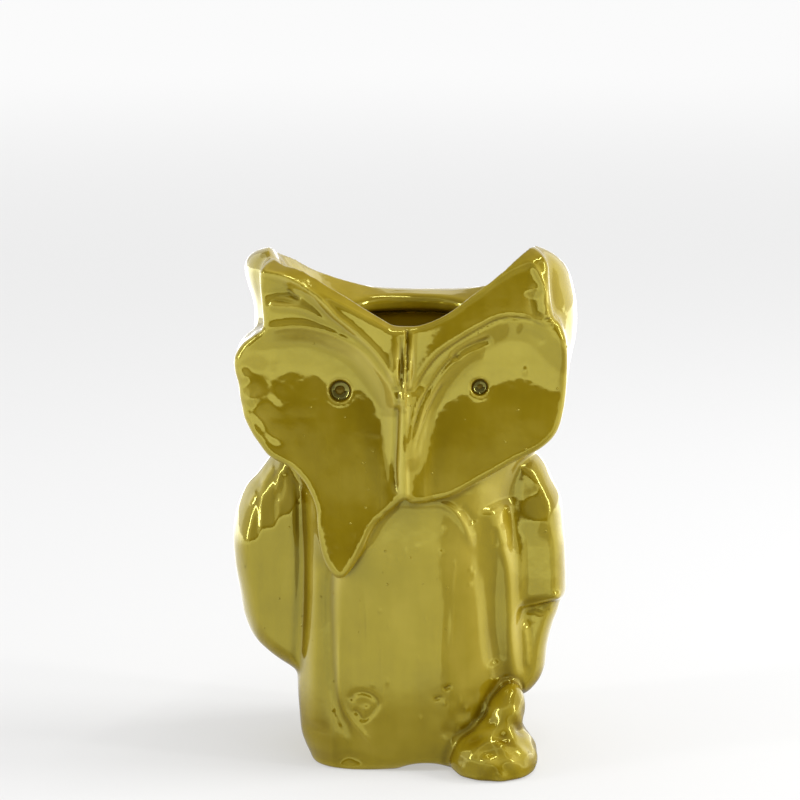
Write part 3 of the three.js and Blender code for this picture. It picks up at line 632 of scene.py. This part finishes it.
def owlField(p):
    x, y, z = p.T
    at = {name: sampleMap(values, x, z) for name, values in outlines.items() if name.startswith("wing")}
    # the body: a column with a relief on its front
    front = smoothStep(-8.0, -26.0, y)
    torso = column(p, torsoLevels, 2.7, low=-2.0, high=124.0) - sampleMap(bodyRelief, x, z) * front
    # wings
    facet = sampleMap(wingRelief, x, z) * smoothStep(4.0, -18.0, y)
    shrink = 0.009 * np.maximum(y + 14.0, 0.0) ** 2
    left = pebble(at["wingLeft"] - 1.6 + shrink, y + 0.10 * (x + 50) + facet, -27.5, 28.0, 8.0, 17.0)
    right = pebble(at["wingRight"] - 1.0 + shrink, y - 0.03 * (x - 48) + facet, -27.0, 28.0, 7.0, 15.0)
    tip = pebble(at["wingTipRight"] - 0.9 + shrink, y - 0.10 * (x - 48) + facet, -23.0, 21.0, 6.0, 13.0)
    blend = 4.2 + 4.0 * smoothStep(-4.0, 16.0, y) + 3.0 * smoothStep(20.0, 40.0, x)
    body = smoothMin(torso, left, blend)
    body = smoothMin(body, smoothMin(right, tip, 1.8), blend)
    # tail
    body = smoothMin(body, ellipsoid(p, (0, 38, 22), (20, 12.5, 34)), 8.0)
    # head: a broad loft behind the face, and the face itself
    head = column(p, headLevels, 2.7, low=98.0)
    s = faceSettings
    edge = sampleMap(faceOutline, x, z)
    plane = s["front"] + s["curve"] * x * x - sampleMap(facePlaneRelief, x, z)
    u, v = edge + 2.6, plane - y + 2.6
    face = np.minimum(np.maximum(u, v), 0) + np.hypot(np.maximum(u, 0), np.maximum(v, 0)) - 2.6
    face = smoothMax(face, y - s["back"], 6.0)
    head = smoothMin(head, face, 3.0)
    top = sampleMap(rim["top"], x, y, rim["originX"], rim["originZ"], rim["step"])
    steep = sampleMap(rim["steep"], x, y, rim["originX"], rim["originZ"], rim["step"])
    soft = sampleMap(rim["soft"], x, y, rim["originX"], rim["originZ"], rim["step"])
    head = smoothMax(head, (z - top) / steep, soft)
    # the cheek runs down into the chest on the left, and stands clear of it on the right
    join = 1.6 + 5.0 * smoothStep(-30.0, -37.0, x) * smoothStep(-45.0, -36.0, y) + 9.0 * smoothStep(2.0, 26.0, y)
    solid = smoothMin(body, head, join)
    # feet
    footRight = ellipsoid(p, (33.4, -33, 4), (17.6, 22.0, 15.0))
    footRight = smoothMin(footRight, ellipsoid(p, (36.5, -33, 17), (8.2, 12.5, 17.0), turn=-18), 4.0)
    footLeft = ellipsoid(p, (-17, -23, 0), (19, 15.6, 5.5))
    solid = smoothMin(solid, footRight, 2.2)
    solid = smoothMin(solid, footLeft, 4.0)
    # unevenness of the hand
    calm = 1.0 - 0.6 * smoothStep(112.0, 124.0, z)
    upright = p * np.array([1.0, 1.0, 0.30], dtype=np.float32)
    solid = solid - 0.22 * calm * waves(upright, 30.0, 3) - 0.07 * calm * waves(upright, 9.0, 8)
    lumpy = np.exp(-(((x - 34) / 15) ** 2 + ((z - 12) / 14) ** 2)) * smoothStep(-20.0, -32.0, y)
    lumpy += 0.32 * np.exp(-(((x + 59) / 7) ** 2 + ((z - 148) / 18) ** 2)) * smoothStep(-10.0, -30.0, y)
    lumpy += 0.14 * np.exp(-(((x + 48) / 13) ** 2 + ((z - 134) / 17) ** 2)) * smoothStep(-10.0, -30.0, y)
    solid = solid - lumpy * 0.55 * waves(p, 7.0, 12)
    # the foot ring's flat and its shallow recess
    solid = smoothMax(solid, -z, 2.0)
    arch = ellipsoid(p, (7.5, -44, -1.5), (12, 14, 4.6))
    solid = smoothMax(solid, -arch, 2.0)
    recess = np.hypot(x - 1, y - 2) - 27
    solid = smoothMax(solid, -smoothMax(recess, z - 1.5, 1.0), 1.0)
    # the hollow
    inside = column(p, cavityLevels, 2.5, low=8.5, high=168.0)
    bore = np.hypot(x - mouth["x"], y - mouth["y"]) - mouth["radius"]
    bore = smoothMax(bore, 150.0 - z, 2.0)
    hollow = smoothMin(inside, bore, 2.5)
    return smoothMax(solid, -hollow, 3.0)


# Which clay element covers a place.
def regionFields(p):
    # roughly signed distances, the lowest one owns the place
    x, y, z = p.T
    at = {name: sampleMap(values, x, z) for name, values in outlines.items()}
    depth = y + 14.0
    s = faceSettings
    fields = {"body_vessel": np.zeros(len(p), dtype=np.float32)}
    fields["face_disc_left"] = np.maximum(at["discLeft"], depth) - 4.0
    fields["face_disc_right"] = np.maximum(at["discRight"], depth) - 4.0
    fields["brow_left"] = np.maximum(at["browLeft"], y + 36.0) - 4.0
    fields["brow_right"] = np.maximum(at["browRight"], y + 36.0) - 4.0
    beakEnds = np.maximum(107.0 - z, z - 153.0)
    fields["beak_ridge"] = np.maximum(np.abs(x + 0.8) - 1.9, np.maximum(y + 36.0, beakEnds)) - 4.0
    aboveShoulder = 166.0 - z
    fields["ear_left"] = np.maximum(aboveShoulder, np.maximum(x + 33.0, -y - 36.0))
    fields["ear_right"] = np.maximum(aboveShoulder, np.maximum(38.0 - x, -y - 36.0))
    ring = np.hypot(x - mouth["x"], y - mouth["y"])
    fields["neck_rim"] = np.maximum(aboveShoulder, np.maximum(-y + 6.0, ring - 60.0)) + 0.4
    fields["wing_left"] = np.maximum(at["wingLeft"] - 4.0, np.maximum(-y - 38.0, x + 41.0))
    fields["wing_right"] = np.maximum(at["wingRight"] - 4.0, np.maximum(-y - 38.0, 43.0 - x))
    fields["wing_tip_right"] = np.maximum(at["wingTipRight"] - 4.0, np.maximum(-y - 38.0, 43.0 - x))
    front = y + 31.0
    bellyEdge = np.maximum(-28.0 - x, x - (30.5 + 0.05 * (60 - z)))
    fields["belly_panel"] = np.maximum(np.maximum(bellyEdge, front), np.maximum(15.0 - z, z - 105.0))
    fields["leg_left"] = np.maximum(np.maximum(x + 28.0, front - 14.0), np.maximum(14.0 - z, z - 105.0))
    legEdge = 31.0 - 0.05 * (z - 60) - x
    fields["leg_right"] = np.maximum(np.maximum(legEdge, front - 14.0), np.maximum(30.0 - z, z - 105.0))
    fields["foot_left"] = np.maximum(np.maximum(z - 14.0, front - 14.0), x - 3.0)
    fields["foot_right"] = ellipsoid(p, (33, -32, 10), (18, 22, 21))
    fields["tail"] = np.maximum(np.maximum(np.abs(x) - 19.0, 36.0 - y), z - 54.0)
    return fields


pieceNames = ["body_vessel", "neck_rim", "beak_ridge", "belly_panel", "wing_tip_right", "tail",
              "brow_left", "brow_right", "ear_left", "ear_right", "face_disc_left", "face_disc_right",
              "leg_left", "leg_right", "foot_left", "foot_right", "wing_left", "wing_right"]

skinSettings = {
    "voxel": 0.7,       # mm
    "dive": 0.10,                              # how fast a piece's skin dives under its neighbour's, per mm
    "overlap": 1.5,                            # mm that a piece runs on under its neighbour
}


def pieceField(name, p):
    solid = owlField(p)
    fields = regionFields(p)
    own = fields.pop(name)
    others = np.minimum.reduce(list(fields.values()))
    r = (own - others) / 2
    dive = np.maximum(r, 0.0)
    return np.maximum(solid + skinSettings["dive"] * dive * dive, r - skinSettings["overlap"])


def evaluate(function, p, chunk=400000):
    return np.concatenate([function(p[i:i + chunk]) for i in range(0, len(p), chunk)])


ownerCoarse = {}


def coarseOwners(block):
    # one look at the whole owl on a coarse grid tells which blocks each piece needs
    xs = np.arange(-76.0, 76.0, block) + block / 2
    ys = np.arange(-62.0, 62.0, block) + block / 2
    zs = np.arange(-8.0, 210.0, block) + block / 2
    g = np.stack(np.meshgrid(xs, ys, zs, indexing="ij"), axis=-1).reshape(-1, 3).astype(np.float32)
    solid = evaluate(owlField, g)
    near = np.abs(solid) < block * 1.6
    inside = solid < block * 1.6
    fields = regionFields(g)
    names = list(fields)
    stack = np.stack([fields[n] for n in names])
    for i, name in enumerate(names):
        others = np.delete(stack, i, axis=0).min(axis=0)
        r = (stack[i] - others) / 2
        reach = block * 1.2
        skin = near & (r < skinSettings["overlap"] + reach)
        cut = inside & (np.abs(r - skinSettings["overlap"]) < reach)
        ownerCoarse[name] = g[skin | cut] - block / 2


blockCells = 8
coarseOwners(blockCells * skinSettings["voxel"])
print("blocks found:", sum(len(v) for v in ownerCoarse.values()))


def meshPiece(name):
    h = skinSettings["voxel"]
    corners = ownerCoarse[name]
    low = corners.min(axis=0)
    cells = np.round((corners - low) / h).astype(int)
    shape = tuple(cells.max(axis=0) + blockCells + 1)
    steps = np.arange(blockCells + 1)
    local = np.stack(np.meshgrid(steps, steps, steps, indexing="ij"), axis=-1).reshape(-1, 3)
    index = (cells[:, None, :] + local[None]).reshape(-1, 3)
    flat = np.unique(np.ravel_multi_index(index.T, shape))
    where = np.stack(np.unravel_index(flat, shape), axis=-1)
    values = evaluate(lambda q: pieceField(name, q), (low + where * h).astype(np.float32))
    # away from the evaluated blocks a place is inside or outside as its nearest known cells are
    band = 3 * h
    dense = np.full(shape, band, dtype=np.float32)
    dense.ravel()[flat] = np.clip(values, -band, band)
    known = np.zeros(shape, dtype=bool)
    known.ravel()[flat] = True
    fillInside(dense, known, band)
    grid = openvdb.FloatGrid(band)
    grid.copyFromArray(dense)
    points, quads = grid.convertToQuads(0.0)
    return points * h + low, quads


def fillInside(values, known, band):
    # runs the sign on from the known cells along each axis into the unknown ones
    sign = np.where(known, np.sign(values), 0).astype(np.int8)
    for axis in (0, 1, 2):
        index = np.arange(sign.shape[axis]).reshape([-1 if a == axis else 1 for a in range(3)])
        last = np.maximum.accumulate(np.where(sign != 0, index, -1), axis=axis)
        filled = np.take_along_axis(sign, np.maximum(last, 0), axis=axis)
        sign = np.where((sign == 0) & (last >= 0), filled, sign)
    values[(~known) & (sign < 0)] = -band


def settle(name, points):
    # Newton steps onto the skin
    p = points.astype(np.float32)
    e = np.float32(0.12)
    limit = skinSettings["voxel"] * 0.5
    field = lambda q: evaluate(lambda c: pieceField(name, c), q)
    offsets = np.array([(1, -1, -1), (-1, -1, 1), (-1, 1, -1), (1, 1, 1)], dtype=np.float32)
    for _ in range(2):
        samples = [field(p + k * e) for k in offsets]
        gradient = sum(k[None] * v[:, None] for k, v in zip(offsets, samples)) / (4 * e)
        value = sum(samples) / 4
        size2 = np.maximum((gradient**2).sum(axis=1), 0.05)
        move = -(value / size2)[:, None] * gradient
        length = np.linalg.norm(move, axis=1, keepdims=True)
        p = p + move * np.minimum(1.0, limit / np.maximum(length, 1e-6))
    return p


def onSkin(points):
    # 1 on the owl's own skin, 0 where a piece dives under its neighbour
    return (np.abs(evaluate(owlField, points.astype(np.float32))) < 0.08).astype(np.float32)


def glazeDepthAndPaintedLight(points):
    # 0 where the glaze has run thin over an edge, 1 where it has pooled in a hollow, and more
    # in the eyes' pits as painted shade, and most inside the owl, where a pale yellow is painted light
    p = points.astype(np.float32)
    e = np.float32(0.4)
    field = lambda q: evaluate(owlField, q)
    here = field(p)
    gradient = np.stack([field(p + e * axis) - here for axis in np.eye(3, dtype=np.float32)], axis=-1)
    normal = gradient / np.maximum(np.linalg.norm(gradient, axis=1, keepdims=True), 1e-6)
    hollow = np.clip(2.4 - field(p + 2.4 * normal), -1.5, 1.5)
    edge = np.clip(field(p - 1.6 * normal) + 1.6, -0.5, 1.6)
    # painted light: from near its floor to just under the lip, the inside of the owl is set to a pale yellow
    within = np.hypot(p[:, 0] - mouth["x"], p[:, 1] - mouth["y"]) < mouth["radius"] + 1.5
    paintedLightInside = np.where(within, smoothStep(171.0, 166.0, p[:, 2]) * smoothStep(4.0, 6.0, p[:, 2]), 0.0)
    # painted shade: in the eyes' pits the glaze is set darker than its pooling alone gives
    pits = np.zeros(len(p), dtype=np.float32)
    for x, z, radius, _ in eyePlaces.values():
        pits = np.maximum(pits, smoothStep(1.05 * radius, 0.8 * radius, np.hypot(p[:, 0] - x, p[:, 2] - z)))
    depth = np.clip(0.5 + 0.55 * hollow - 0.45 * edge, 0.0, 1.0)
    depth += (paintedLightDepths["pit"] - depth) * pits * (p[:, 1] < -30.0)
    return depth * (1 - paintedLightInside) + paintedLightDepths["paintedLightInside"] * paintedLightInside


def toObject(name, points, quads):
    mesh = bpy.data.meshes.new(name)
    mesh.vertices.add(len(points))
    mesh.vertices.foreach_set("co", (points * mm).astype(np.float32).ravel())
    mesh.loops.add(quads.size)
    mesh.loops.foreach_set("vertex_index", quads.astype(np.int32).ravel())
    mesh.polygons.add(len(quads))
    mesh.polygons.foreach_set("loop_start", np.arange(0, quads.size, 4, dtype=np.int32))
    mesh.update(calc_edges=True)
    mesh.validate()
    mesh.shade_smooth()
    depth = mesh.attributes.new("glazeDepthAndPaintedLight", "FLOAT", "POINT")
    depth.data.foreach_set("value", glazeDepthAndPaintedLight(points).astype(np.float32))
    skin = mesh.attributes.new("onSkin", "FLOAT", "POINT")
    skin.data.foreach_set("value", onSkin(points))
    piece = bpy.data.objects.new(name, mesh)
    bpy.context.scene.collection.objects.link(piece)
    return piece


# The glaze.
def linear(hexColour):
    channels = [int(hexColour[i:i + 2], 16) / 255 for i in (1, 3, 5)]
    return tuple(c / 12.92 if c <= 0.04045 else ((c + 0.055) / 1.055) ** 2.4 for c in channels) + (1.0,)


def addNode(tree, kind, settings=None, links=None):
    # settings go to the node's own properties or to its inputs; links map an input to an output socket
    node = tree.nodes.new(kind)
    for key, value in (settings or {}).items():
        if isinstance(key, str) and hasattr(node, key):
            setattr(node, key, value)
        else:
            node.inputs[key].default_value = value
    for key, socket in (links or {}).items():
        tree.links.new(socket, node.inputs[key])
    return node


def maths(tree, operation, a, b=None, c=None):
    # a maths node's result; each operand is a number or an output socket
    operands = [(i, value) for i, value in enumerate((a, b, c)) if value is not None]
    numbers = {i: value for i, value in operands if isinstance(value, (int, float))}
    sockets = {i: value for i, value in operands if i not in numbers}
    return addNode(tree, "ShaderNodeMath", {"operation": operation, **numbers}, sockets).outputs[0]


def emptyMaterial(name):
    material = bpy.data.materials.new(name)
    material.use_nodes = True
    material.node_tree.nodes.clear()
    return material, material.node_tree


# painted shade in the eyes' pits and painted light inside the owl: the depths the glaze colour is set to there
paintedLightDepths = {"pit": 1.55, "paintedLightInside": 2.3}       # glazeDepthAndPaintedLight in the eyes' pits and inside the owl

glazeSettings = {
    "thin": "#a79234",
    "body": "#8d7812",
    "pooled": "#6b5300",
    # the darkest colour: glaze pooled deepest, and painted shade in the eyes' pits
    "deepestPoolAndPitShade": "#3a2700",
    # the pale yellow inside the owl is painted light
    "paintedLightInside": "#dcae1c",
    "roughness": 0.09,
    "ior": 1.65,
    "specular": 1.0,
    "coat": 0.03,
    "ripple": 0.55,
    "drift": 0.60,           # how far its depth wanders in clouds, and in downward runs
    "streak": 0.30,
    "shine": (1.0, 0.97, 0.25, 1.0),       # the glaze stains what it mirrors, except at grazing angles
}


def oliveGlaze(name="oliveGlaze", settings=glazeSettings):
    # transparent olive glaze over white clay, fired glossy: paler where it ran thin over an edge,
    # browner where it pooled, with a wet shine; darker in the eyes' pits as painted shade, and a pale
    # yellow inside the owl as painted light
    s = settings
    material, tree = emptyMaterial(name)
    coords = addNode(tree, "ShaderNodeTexCoord").outputs["Object"]
    depth = addNode(tree, "ShaderNodeAttribute", {"attribute_name": "glazeDepthAndPaintedLight"}).outputs["Fac"]
    cloud = addNode(tree, "ShaderNodeTexNoise", {"Scale": 42.0, "Detail": 3.0}, {"Vector": coords}).outputs["Fac"]
    stretch = addNode(tree, "ShaderNodeMapping", {"Scale": (130.0, 130.0, 26.0)}, {"Vector": coords})
    runs = addNode(tree, "ShaderNodeTexNoise", {"Scale": 1.0, "Detail": 2.0},
                   {"Vector": stretch.outputs[0]}).outputs["Fac"]
    drift = maths(tree, "MULTIPLY_ADD", cloud, s["drift"], -s["drift"] / 2)
    streak = maths(tree, "MULTIPLY_ADD", runs, s["streak"], -s["streak"] / 2)
    mixed = maths(tree, "ADD", drift, streak)
    amount = maths(tree, "ADD", depth, mixed)
    half = maths(tree, "MULTIPLY", amount, 0.5)
    ramp = addNode(tree, "ShaderNodeValToRGB", {}, {"Fac": half})
    stops = ramp.color_ramp.elements
    stops[0].position, stops[0].color = 0.05, linear(s["thin"])
    # the ramp's top is the pale yellow painted inside the owl as light
    stops[1].position, stops[1].color = 0.98, linear(s["paintedLightInside"])
    for position, colour in ((0.24, s["body"]), (0.46, s["pooled"]), (0.62, s["pooled"]), (0.70, s["deepestPoolAndPitShade"]),
                             (0.85, s["deepestPoolAndPitShade"])):
        stops.new(position).color = linear(colour)
    peel = addNode(tree, "ShaderNodeTexNoise", {"Scale": 140.0, "Detail": 2.0}, {"Vector": coords}).outputs["Fac"]
    uneven = maths(tree, "ADD", peel, runs)
    ripple = addNode(tree, "ShaderNodeBump", {"Strength": s["ripple"], "Distance": 0.3 * mm}, {"Height": uneven})
    shader = addNode(tree, "ShaderNodeBsdfPrincipled",
                     {"Roughness": s["roughness"], "IOR": s["ior"], "Specular IOR Level": s["specular"],
                      "Specular Tint": s["shine"], "Coat Weight": s["coat"], "Coat Roughness": 0.03},
                     {"Base Color": ramp.outputs["Color"], "Normal": ripple.outputs["Normal"]})
    addNode(tree, "ShaderNodeOutputMaterial", {}, {"Surface": shader.outputs["BSDF"]})
    return material


glaze = oliveGlaze()

for name in pieceNames:
    points, quads = meshPiece(name)
    points = settle(name, points)
    piece = toObject(name + "_clay", points, quads)
    piece.data.materials.append(glaze)
    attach(piece, "root")
    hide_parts(name)
    print(name, len(points), "points")


# The pellets in the eyes' pits.
def makeEye(side, radius, lift=2.0):
    # a dab of slip at the bottom of its pit, which stands `lift` mm proud of its own middle
    x, z, _, depth = eyePlaces[side]
    floorY = faceSettings["front"] + faceSettings["curve"] * x * x + 3.2 + depth
    centre = np.array([x, floorY, z])
    sides, rings = 40, 16
    up = np.linspace(-math.pi / 2, math.pi / 2, rings + 1)[1:-1]
    turn = np.linspace(0, 2 * math.pi, sides, endpoint=False)
    rise, around = np.meshgrid(up, turn, indexing="ij")
    wobble = 1.0 + 0.07 * np.sin(2 * around + 0.6) + 0.04 * np.sin(3 * around)
    ringPoints = np.stack([np.cos(rise) * np.cos(around) * radius * wobble, -np.sin(rise) * lift,
                           np.cos(rise) * np.sin(around) * radius * wobble], axis=-1).reshape(-1, 3)
    points = np.vstack([ringPoints, [[0, lift, 0], [0, -lift, 0]]]) + centre
    count = len(ringPoints)
    faces = []
    for i in range(rings - 2):
        for j in range(sides):
            a, b = i * sides + j, i * sides + (j + 1) % sides
            faces.append((a, b, b + sides, a + sides))
    for j in range(sides):
        a, b = j, (j + 1) % sides
        faces.append((count, b, a))
        last = (rings - 2) * sides
        faces.append((count + 1, last + a, last + b))
    mesh = bpy.data.meshes.new("eye_" + side)
    mesh.from_pydata((points * mm).tolist(), [], faces)
    bm = bmesh.new()
    bm.from_mesh(mesh)
    bmesh.ops.recalc_face_normals(bm, faces=bm.faces)
    bm.to_mesh(mesh)
    bm.free()
    mesh.shade_smooth()
    depth = mesh.attributes.new("glazeDepthAndPaintedLight", "FLOAT", "POINT")
    depth.data.foreach_set("value", np.full(len(points), 0.6, dtype=np.float32))
    eye = bpy.data.objects.new("eye_" + side + "_pellet", mesh)
    bpy.context.scene.collection.objects.link(eye)
    # the pellet takes the darker copy of the glaze, painted shade at the pit's bottom
    eye.data.materials.append(pitShadeGlaze)
    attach(eye, "root")
    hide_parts("eye_" + side)


# a darker, duller copy of the glaze for the eyes' pellets: painted shade at the bottom of their pits
pitShadeGlaze = oliveGlaze("pitShadeGlaze", {**glazeSettings, "thin": "#7a6206", "body": "#644b00",
                                         "pooled": "#4f3800", "roughness": 0.28, "specular": 0.4})
makeEye("left", 2.2, 1.5)
makeEye("right", 1.7, 1.3)


# Pimples in the glaze.
pimpleSettings = {
    "hosts": ["belly_panel", "leg_left", "wing_left", "wing_right", "face_disc_left", "face_disc_right",
              "foot_right"],
    "inputs": {"Density": 2400.0, "Smallest": 0.20 * mm, "Largest": 0.52 * mm, "Height": 0.45, "Seed": 5},
}


domePoints = 162                  # vertices of one dome


def pimpleTree():
    # scatters low domes over the skin: grains that the firing left under the glaze
    tree = bpy.data.node_groups.new("glazePimples", "GeometryNodeTree")
    tree.interface.new_socket("Geometry", in_out="INPUT", socket_type="NodeSocketGeometry")
    for name in pimpleSettings["inputs"]:
        kind = "NodeSocketInt" if name == "Seed" else "NodeSocketFloat"
        tree.interface.new_socket(name, in_out="INPUT", socket_type=kind)
    tree.interface.new_socket("Geometry", in_out="OUTPUT", socket_type="NodeSocketGeometry")
    given = addNode(tree, "NodeGroupInput").outputs
    mask = addNode(tree, "GeometryNodeInputNamedAttribute",
                   {"data_type": "FLOAT", "Name": "onSkin"}).outputs["Attribute"]
    shown = maths(tree, "GREATER_THAN", mask, 0.99)
    spots = addNode(tree, "GeometryNodeDistributePointsOnFaces", {},
                    {"Mesh": given["Geometry"], "Selection": shown, "Density": given["Density"],
                     "Seed": given["Seed"]})
    radius = addNode(tree, "FunctionNodeRandomValue", {"data_type": "FLOAT"},
                     {2: given["Smallest"], 3: given["Largest"], "Seed": given["Seed"]}).outputs[1]
    height = maths(tree, "MULTIPLY", radius, given["Height"])
    size = addNode(tree, "ShaderNodeCombineXYZ", {}, {"X": radius, "Y": radius, "Z": height}).outputs[0]
    dome = addNode(tree, "GeometryNodeMeshIcoSphere", {"Radius": 1.0, "Subdivisions": 3}).outputs["Mesh"]
    domes = addNode(tree, "GeometryNodeInstanceOnPoints", {},
                    {"Points": spots.outputs["Points"], "Instance": dome, "Rotation": spots.outputs["Rotation"],
                     "Scale": size}).outputs["Instances"]
    real = addNode(tree, "GeometryNodeRealizeInstances", {}, {"Geometry": domes}).outputs["Geometry"]
    smooth = addNode(tree, "GeometryNodeSetShadeSmooth", {}, {"Geometry": real}).outputs["Geometry"]
    glazed = addNode(tree, "GeometryNodeSetMaterial", {"Material": glaze},
                     {"Geometry": smooth}).outputs["Geometry"]
    addNode(tree, "NodeGroupOutput", {}, {"Geometry": glazed})
    return tree


def makePimples():
    tree = pimpleTree()
    identifiers = {item.name: item.identifier for item in tree.interface.items_tree if item.in_out == "INPUT"}
    for host in pimpleSettings["hosts"]:
        piece = bpy.data.objects[host + "_clay"]
        modifier = piece.modifiers.new("pimples", "NODES")
        modifier.node_group = tree
        for name, value in pimpleSettings["inputs"].items():
            modifier[identifiers[name]] = value
        bpy.context.view_layer.update()
        evaluated = piece.evaluated_get(bpy.context.evaluated_depsgraph_get())
        mesh = bpy.data.meshes.new_from_object(evaluated)
        piece.modifiers.remove(modifier)
        pimples = bpy.data.objects.new(host + "_pimples", mesh)
        bpy.context.scene.collection.objects.link(pimples)
        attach(pimples, "root")
        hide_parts(host)
        print(host, "pimples:", len(mesh.vertices) // domePoints)


makePimples()


# The stage: floor, screens and lights.
def emission(name, strength, colour=(1, 1, 1, 1)):
    material, tree = emptyMaterial(name)
    glow = addNode(tree, "ShaderNodeEmission", {"Color": colour, "Strength": strength})
    addNode(tree, "ShaderNodeOutputMaterial", {}, {"Surface": glow.outputs["Emission"]})
    return material


def card(name, centre, size, facing, material, camera=False):
    mesh = bpy.data.meshes.new(name)
    w, h = size[0] / 2, size[1] / 2
    mesh.from_pydata([(-w, -h, 0), (w, -h, 0), (w, h, 0), (-w, h, 0)], [], [(0, 1, 2, 3)])
    mesh.materials.append(material)
    obj = bpy.data.objects.new(name, mesh)
    obj.location = centre
    direction = Vector(facing) - Vector(centre)
    obj.rotation_euler = direction.to_track_quat("Z", "Y").to_euler()
    obj.visible_camera = camera
    bpy.context.scene.collection.objects.link(obj)
    return obj


studioSettings = {
    "paper": "#f7f7f7",
    "floorAlbedo": 0.38,         # the rest of the floor's paleness is its own glow, which keeps shadows soft
    "floorGlowNear": 0.42,
    "floorGlowFar": 0.61,
    "flagLow": 0.0,              # the dark screen in front, paler towards its top
    "flagHigh": 0.42,
    "ceiling": 0.30,
    "mirrorNear": 0.45,          # what the glaze mirrors of the floor, close to the owl and further out
    "mirrorFar": 1.40,
    "mirrorBeyond": 0.60,        # added further out than the belly mirrors
    "mirrorBack": 1.8,           # added behind the owl, which lights the edges of the form
    "mirrorFold": 0.55,          # how much it dims to the owl's front right
    "topGlow": 24.0,
    "sideGlow": 20.0,
    "keyGlow": 13.0,
    "backGlow": 1.6,
}


def ranged(tree, value, low, high, near, far):
    return addNode(tree, "ShaderNodeMapRange", {"From Min": low, "From Max": high, "To Min": near, "To Max": far,
                                                "interpolation_type": "SMOOTHSTEP"}, {"Value": value}).outputs[0]


def glowByDistance(name, near, far, inner, outer, albedo=0.0, behind=0.0, beyond=0.0, fold=0.0, axis=None):
    # a card whose glow rises from `near` to `far` with the distance from the owl, in metres, or along
    # one axis; `behind` is added to it behind the owl, and `fold` is how much it dims to the right
    material, tree = emptyMaterial(name)
    place = addNode(tree, "ShaderNodeNewGeometry").outputs["Position"]
    along = addNode(tree, "ShaderNodeSeparateXYZ", {}, {0: place}).outputs
    front = maths(tree, "MULTIPLY", along["Y"], -1.0)
    bearing = maths(tree, "ARCTAN2", along["X"], front)
    reach = addNode(tree, "ShaderNodeVectorMath", {"operation": "LENGTH"}, {0: place}).outputs["Value"]
    level = ranged(tree, along[axis] if axis else reach, inner, outer, near, far)
    falls = ranged(tree, bearing, 0.32, 0.42, 1.0, 1.0 - fold)
    rises = ranged(tree, bearing, 1.15, 1.35, 0.0, fold)
    factor = maths(tree, "ADD", falls, rises)
    level = maths(tree, "MULTIPLY", level, factor)
    added = ranged(tree, along["Y"], 0.10, 0.90, 0.0, behind)
    wider = ranged(tree, reach, 0.40, 0.75, 0.0, beyond)
    added = maths(tree, "ADD", wider, added)
    total = maths(tree, "ADD", level, added)
    glow = addNode(tree, "ShaderNodeEmission", {}, {"Strength": total})
    matt = addNode(tree, "ShaderNodeBsdfDiffuse", {"Color": (albedo, albedo, albedo, 1)})
    both = addNode(tree, "ShaderNodeAddShader", {}, {0: glow.outputs[0], 1: matt.outputs[0]})
    addNode(tree, "ShaderNodeOutputMaterial", {}, {"Surface": both.outputs[0]})
    return material


def studio():
    s = studioSettings
    world = bpy.data.worlds.new("studioWorld")
    bpy.context.scene.world = world
    world.use_nodes = True
    background = world.node_tree.nodes["Background"]
    background.inputs["Color"].default_value = linear(s["paper"])
    background.inputs["Strength"].default_value = 1.0
    paper = glowByDistance("paleFloor", s["floorGlowNear"], s["floorGlowFar"], 0.8, 4.0, albedo=s["floorAlbedo"])
    floor = card("floor", (0, 0, 0), (40, 40), (0, 0, 1), paper, camera=True)
    floor.visible_glossy = False
    # the same floor as the glaze mirrors it: dimmest close to the owl, brightest behind it
    mirrored = card("floorSheen", (0, 1.1, -0.003), (12, 5.2), (0, 1.1, 1),
                    glowByDistance("floorSheenGlow", s["mirrorNear"], s["mirrorFar"], 0.08, 0.17,
                                   behind=s["mirrorBack"], beyond=s["mirrorBeyond"], fold=s["mirrorFold"]))
    mirrored.visible_diffuse = False
    mirrored.visible_shadow = False
    flag = card("frontFlag", (0.12, -1.52, 0.95), (3.4, 1.9), (0.12, 0, 0.95),
                glowByDistance("flagGlow", s["flagLow"], s["flagHigh"], 0.10, 0.42, axis="Z"))
    flag.visible_shadow = False
    ceiling = card("ceilingFlag", (0, 0.35, 2.3), (5.0, 3.0), (0, 0.35, 0), emission("ceilingGlow", s["ceiling"]))
    ceiling.visible_diffuse = False
    ceiling.visible_shadow = False
    top = emission("topGlow", s["topGlow"])
    card("topStrip", (0.35, -0.25, 1.7), (1.1, 0.07), (0.05, -0.1, 0.1), top)
    side = emission("sideGlow", s["sideGlow"])
    card("leftStrip", (-1.5, -0.55, 0.75), (0.11, 1.1), (0, 0, 0.75), side)
    card("rightStrip", (1.5, -0.60, 0.75), (0.13, 1.1), (0, 0, 0.75), side)
    key = card("keySheet", (1.3, 0.02, 0.85), (0.6, 0.6), (0, 0, 0.05), emission("keyGlow", s["keyGlow"]))
    key.visible_glossy = False               # casts the soft shadow to the left
    back = emission("backGlow", s["backGlow"])
    high = emission("backTopGlow", s["ceiling"])
    for name, centre, size in (("backRight", (1.35, 1.25, 0.56), (1.5, 1.1)),
                               ("backLeft", (-1.35, 1.25, 0.56), (1.2, 1.1)),
                               ("backTop", (0.0, 1.5, 1.75), (2.4, 1.1))):
        sheet = card(name, centre, size, (0, 0, 0.2), high if name == "backTop" else back)
        sheet.visible_diffuse = False        # only there to be mirrored at the owl's edges
    bpy.context.scene.view_settings.view_transform = "Standard"
    bpy.context.scene.view_settings.look = "None"


studio()
print("studio set")
